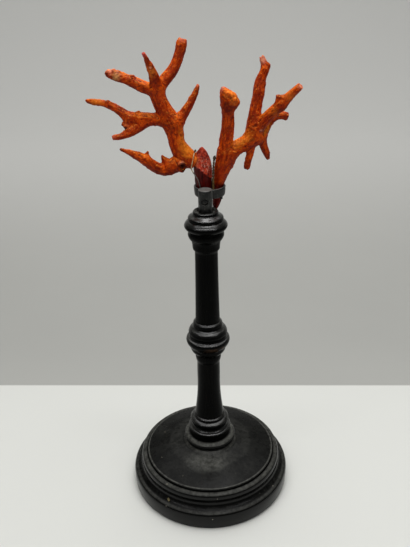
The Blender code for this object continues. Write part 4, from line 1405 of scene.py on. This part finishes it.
# The camera stands in front of and above the stand, looks down on it and leans a little.
CAMERA_PLACE = (-0.00075, -0.352445, 0.331742)
CAMERA_DOWN = 26.449
CAMERA_TURNED = 0.054
CAMERA_LEAN = -1.186
FOCAL_RATIO = 1.1883  # focal length against the taller side of the frame

# The sheet under and behind the stand: a flat square, a quarter-round sweep, then a wall.
TABLE_SIZE = 8.0
TABLE_BACK = 0.8
SWEEP_RADIUS = 0.9
SWEEP_STEPS = 16
WALL_HEIGHT = 1.0

# Soft panels of light that shine straight down: place, width, depth and watts.
PANELS = {
    "ceiling": ((0.0, 0.8, 2.2), 3.0, 2.4, 40.4),
    "softbox_above": ((0.04, 0.06, 0.80), 0.30, 0.30, 1.9),
    "softbox_front": ((0.0, -0.38, 0.85), 1.50, 0.12, 3.9),
}
ROOM_TINT = (1.0, 1.0, 0.985, 1)
ROOM_LIGHT = 0.08


def aim_camera():
    """Adds the camera and aims it."""
    data = bpy.data.cameras.new("camera")
    data.lens = data.sensor_width * FOCAL_RATIO
    data.clip_start, data.clip_end = 0.01, 20.0
    camera = bpy.data.objects.new("camera", data)
    bpy.context.scene.collection.objects.link(camera)
    down, turned, lean = (math.radians(v) for v in (CAMERA_DOWN, CAMERA_TURNED, CAMERA_LEAN))
    ahead = Vector((-math.sin(turned) * math.cos(down), math.cos(turned) * math.cos(down),
                    -math.sin(down)))
    level = Vector((math.cos(turned), math.sin(turned), 0))
    over = level.cross(ahead)
    right = level * math.cos(lean) + over * math.sin(lean)
    above = right.cross(ahead)
    place = Matrix((right, above, -ahead)).transposed().to_4x4()
    place.translation = CAMERA_PLACE
    camera.matrix_world = place
    bpy.context.scene.camera = camera


def set_lights():
    """A broad ceiling panel, two nearer softboxes above and in front, and a dim room."""
    world = bpy.data.worlds.new("room")
    world.use_nodes = True
    room = world.node_tree.nodes["Background"]
    room.inputs["Color"].default_value = ROOM_TINT
    room.inputs["Strength"].default_value = ROOM_LIGHT
    bpy.context.scene.world = world
    for name, (place, width, depth, watts) in PANELS.items():
        data = bpy.data.lights.new(name, "AREA")
        data.shape = "RECTANGLE"
        data.size, data.size_y = width, depth
        data.energy = watts
        panel = bpy.data.objects.new(name, data)
        panel.location = place
        bpy.context.scene.collection.objects.link(panel)


def make_table():
    """A table top that sweeps up into a wall far behind the stand."""
    deselect()
    bpy.ops.mesh.primitive_plane_add(size=TABLE_SIZE,
                                     location=(0, TABLE_BACK - TABLE_SIZE / 2, 0))
    table = bpy.context.object
    settle(table)
    table.name = "table"
    bpy.ops.object.mode_set(mode="EDIT")
    bpy.ops.mesh.select_mode(type="EDGE")
    bpy.ops.mesh.select_all(action="DESELECT")
    bpy.ops.object.mode_set(mode="OBJECT")
    back = max(table.data.edges,
               key=lambda edge: sum(table.data.vertices[v].co.y for v in edge.vertices))
    back.select = True
    bpy.ops.object.mode_set(mode="EDIT")
    for step in range(SWEEP_STEPS):
        low, high = (math.pi / 2 * (step + k) / SWEEP_STEPS for k in (0, 1))
        out = SWEEP_RADIUS * (math.sin(high) - math.sin(low))
        lift = SWEEP_RADIUS * (math.cos(low) - math.cos(high))
        bpy.ops.mesh.extrude_edges_move(TRANSFORM_OT_translate={"value": (0, out, lift)})
    bpy.ops.mesh.extrude_edges_move(TRANSFORM_OT_translate={"value": (0, 0, WALL_HEIGHT)})
    bpy.ops.mesh.select_all(action="SELECT")
    bpy.ops.mesh.normals_make_consistent(inside=False)
    bpy.ops.object.mode_set(mode="OBJECT")
    soften(table, 60)
    table.data.materials.append(table_and_backdrop())


# ---------------------------------------------------------------- assembly


def build_stand():
    """The base and the two pieces of the column."""
    column_wood = ebonised_column()
    base = make_base()
    soften(base, 30)
    finish_piece(base, "turned_base", ebonised_base(), ["stand_base"])
    for half, outline in (("lower", lower_column_outline()), ("upper", upper_column_outline())):
        column = turn(outline)
        soften(column, 30)
        finish_piece(column, f"turned_{half}_column", column_wood,
                     [f"stand_{half}_column"])


def build_clasp():
    """The peg, its screw and the hoop."""
    iron = black_iron("blackened_iron", 0.9)
    dark_iron = black_iron("blackened_iron_hoop", 0.12)
    finish_piece(make_peg(), "peg", iron, ["clasp_peg"])
    finish_piece(make_screw(), "peg_screw", iron, ["clasp_screw"])
    finish_piece(make_hoop(), "hoop", dark_iron, ["clasp_hoop"])


def build_coral():
    """The two branches and the stump between them."""
    bark = coral_bark("coral_bark_dried")
    left = coral_branch(LEFT_LIMBS, LEFT_ENDS, LEFT_STAINS_AND_PAINTED_LIGHT, seed=11, voxel=0.28,
                        hollows=LEFT_HOLLOWS, against=[Limb(CORE)])
    finish_piece(left, "coral_left_branch", bark, [
        "coral_left_stem", "coral_left_low_limb", "coral_crown_stem", "coral_left_bough",
        "coral_left_bough_fork", "coral_inner_twig", "coral_crown_left_limb",
        "coral_crown_right_limb", "coral_crown_front_twig"])
    right = coral_branch(RIGHT_LIMBS, RIGHT_ENDS, RIGHT_STAINS_AND_PAINTED_LIGHT, seed=29, voxel=0.26,
                         bare_below=208.5)
    finish_piece(right, "coral_right_branch", bark, [
        "coral_right_stem", "coral_right_post", "coral_right_bough", "coral_right_upright",
        "coral_right_high_limb", "coral_right_low_limb", "coral_drop_twig_front",
        "coral_drop_twig_back"])
    finish_piece(core_stump(), "core_stump", coral_core("coral_core_bare"),
                 ["coral_core_stump"])


def build_wires():
    """The pale wire on the left and the brown pair on the right."""
    pale = tie_wire("tie_wire_pale", STRAW, DULL_GREY, 217.5, 228.0)
    finish_piece(make_left_wire(), "left_tie_wire", pale, ["tie_wire_left"])
    brown = tie_wire("tie_wire_brown", DULL_BROWN, BRASS, 212.5, 223.5)
    finish_piece(make_right_wire(), "right_tie_wire", brown, ["tie_wire_right"])


aim_camera()
make_table()
set_lights()
bpy.context.scene.view_settings.view_transform = "Standard"
build_stand()
build_clasp()
build_coral()
build_wires()
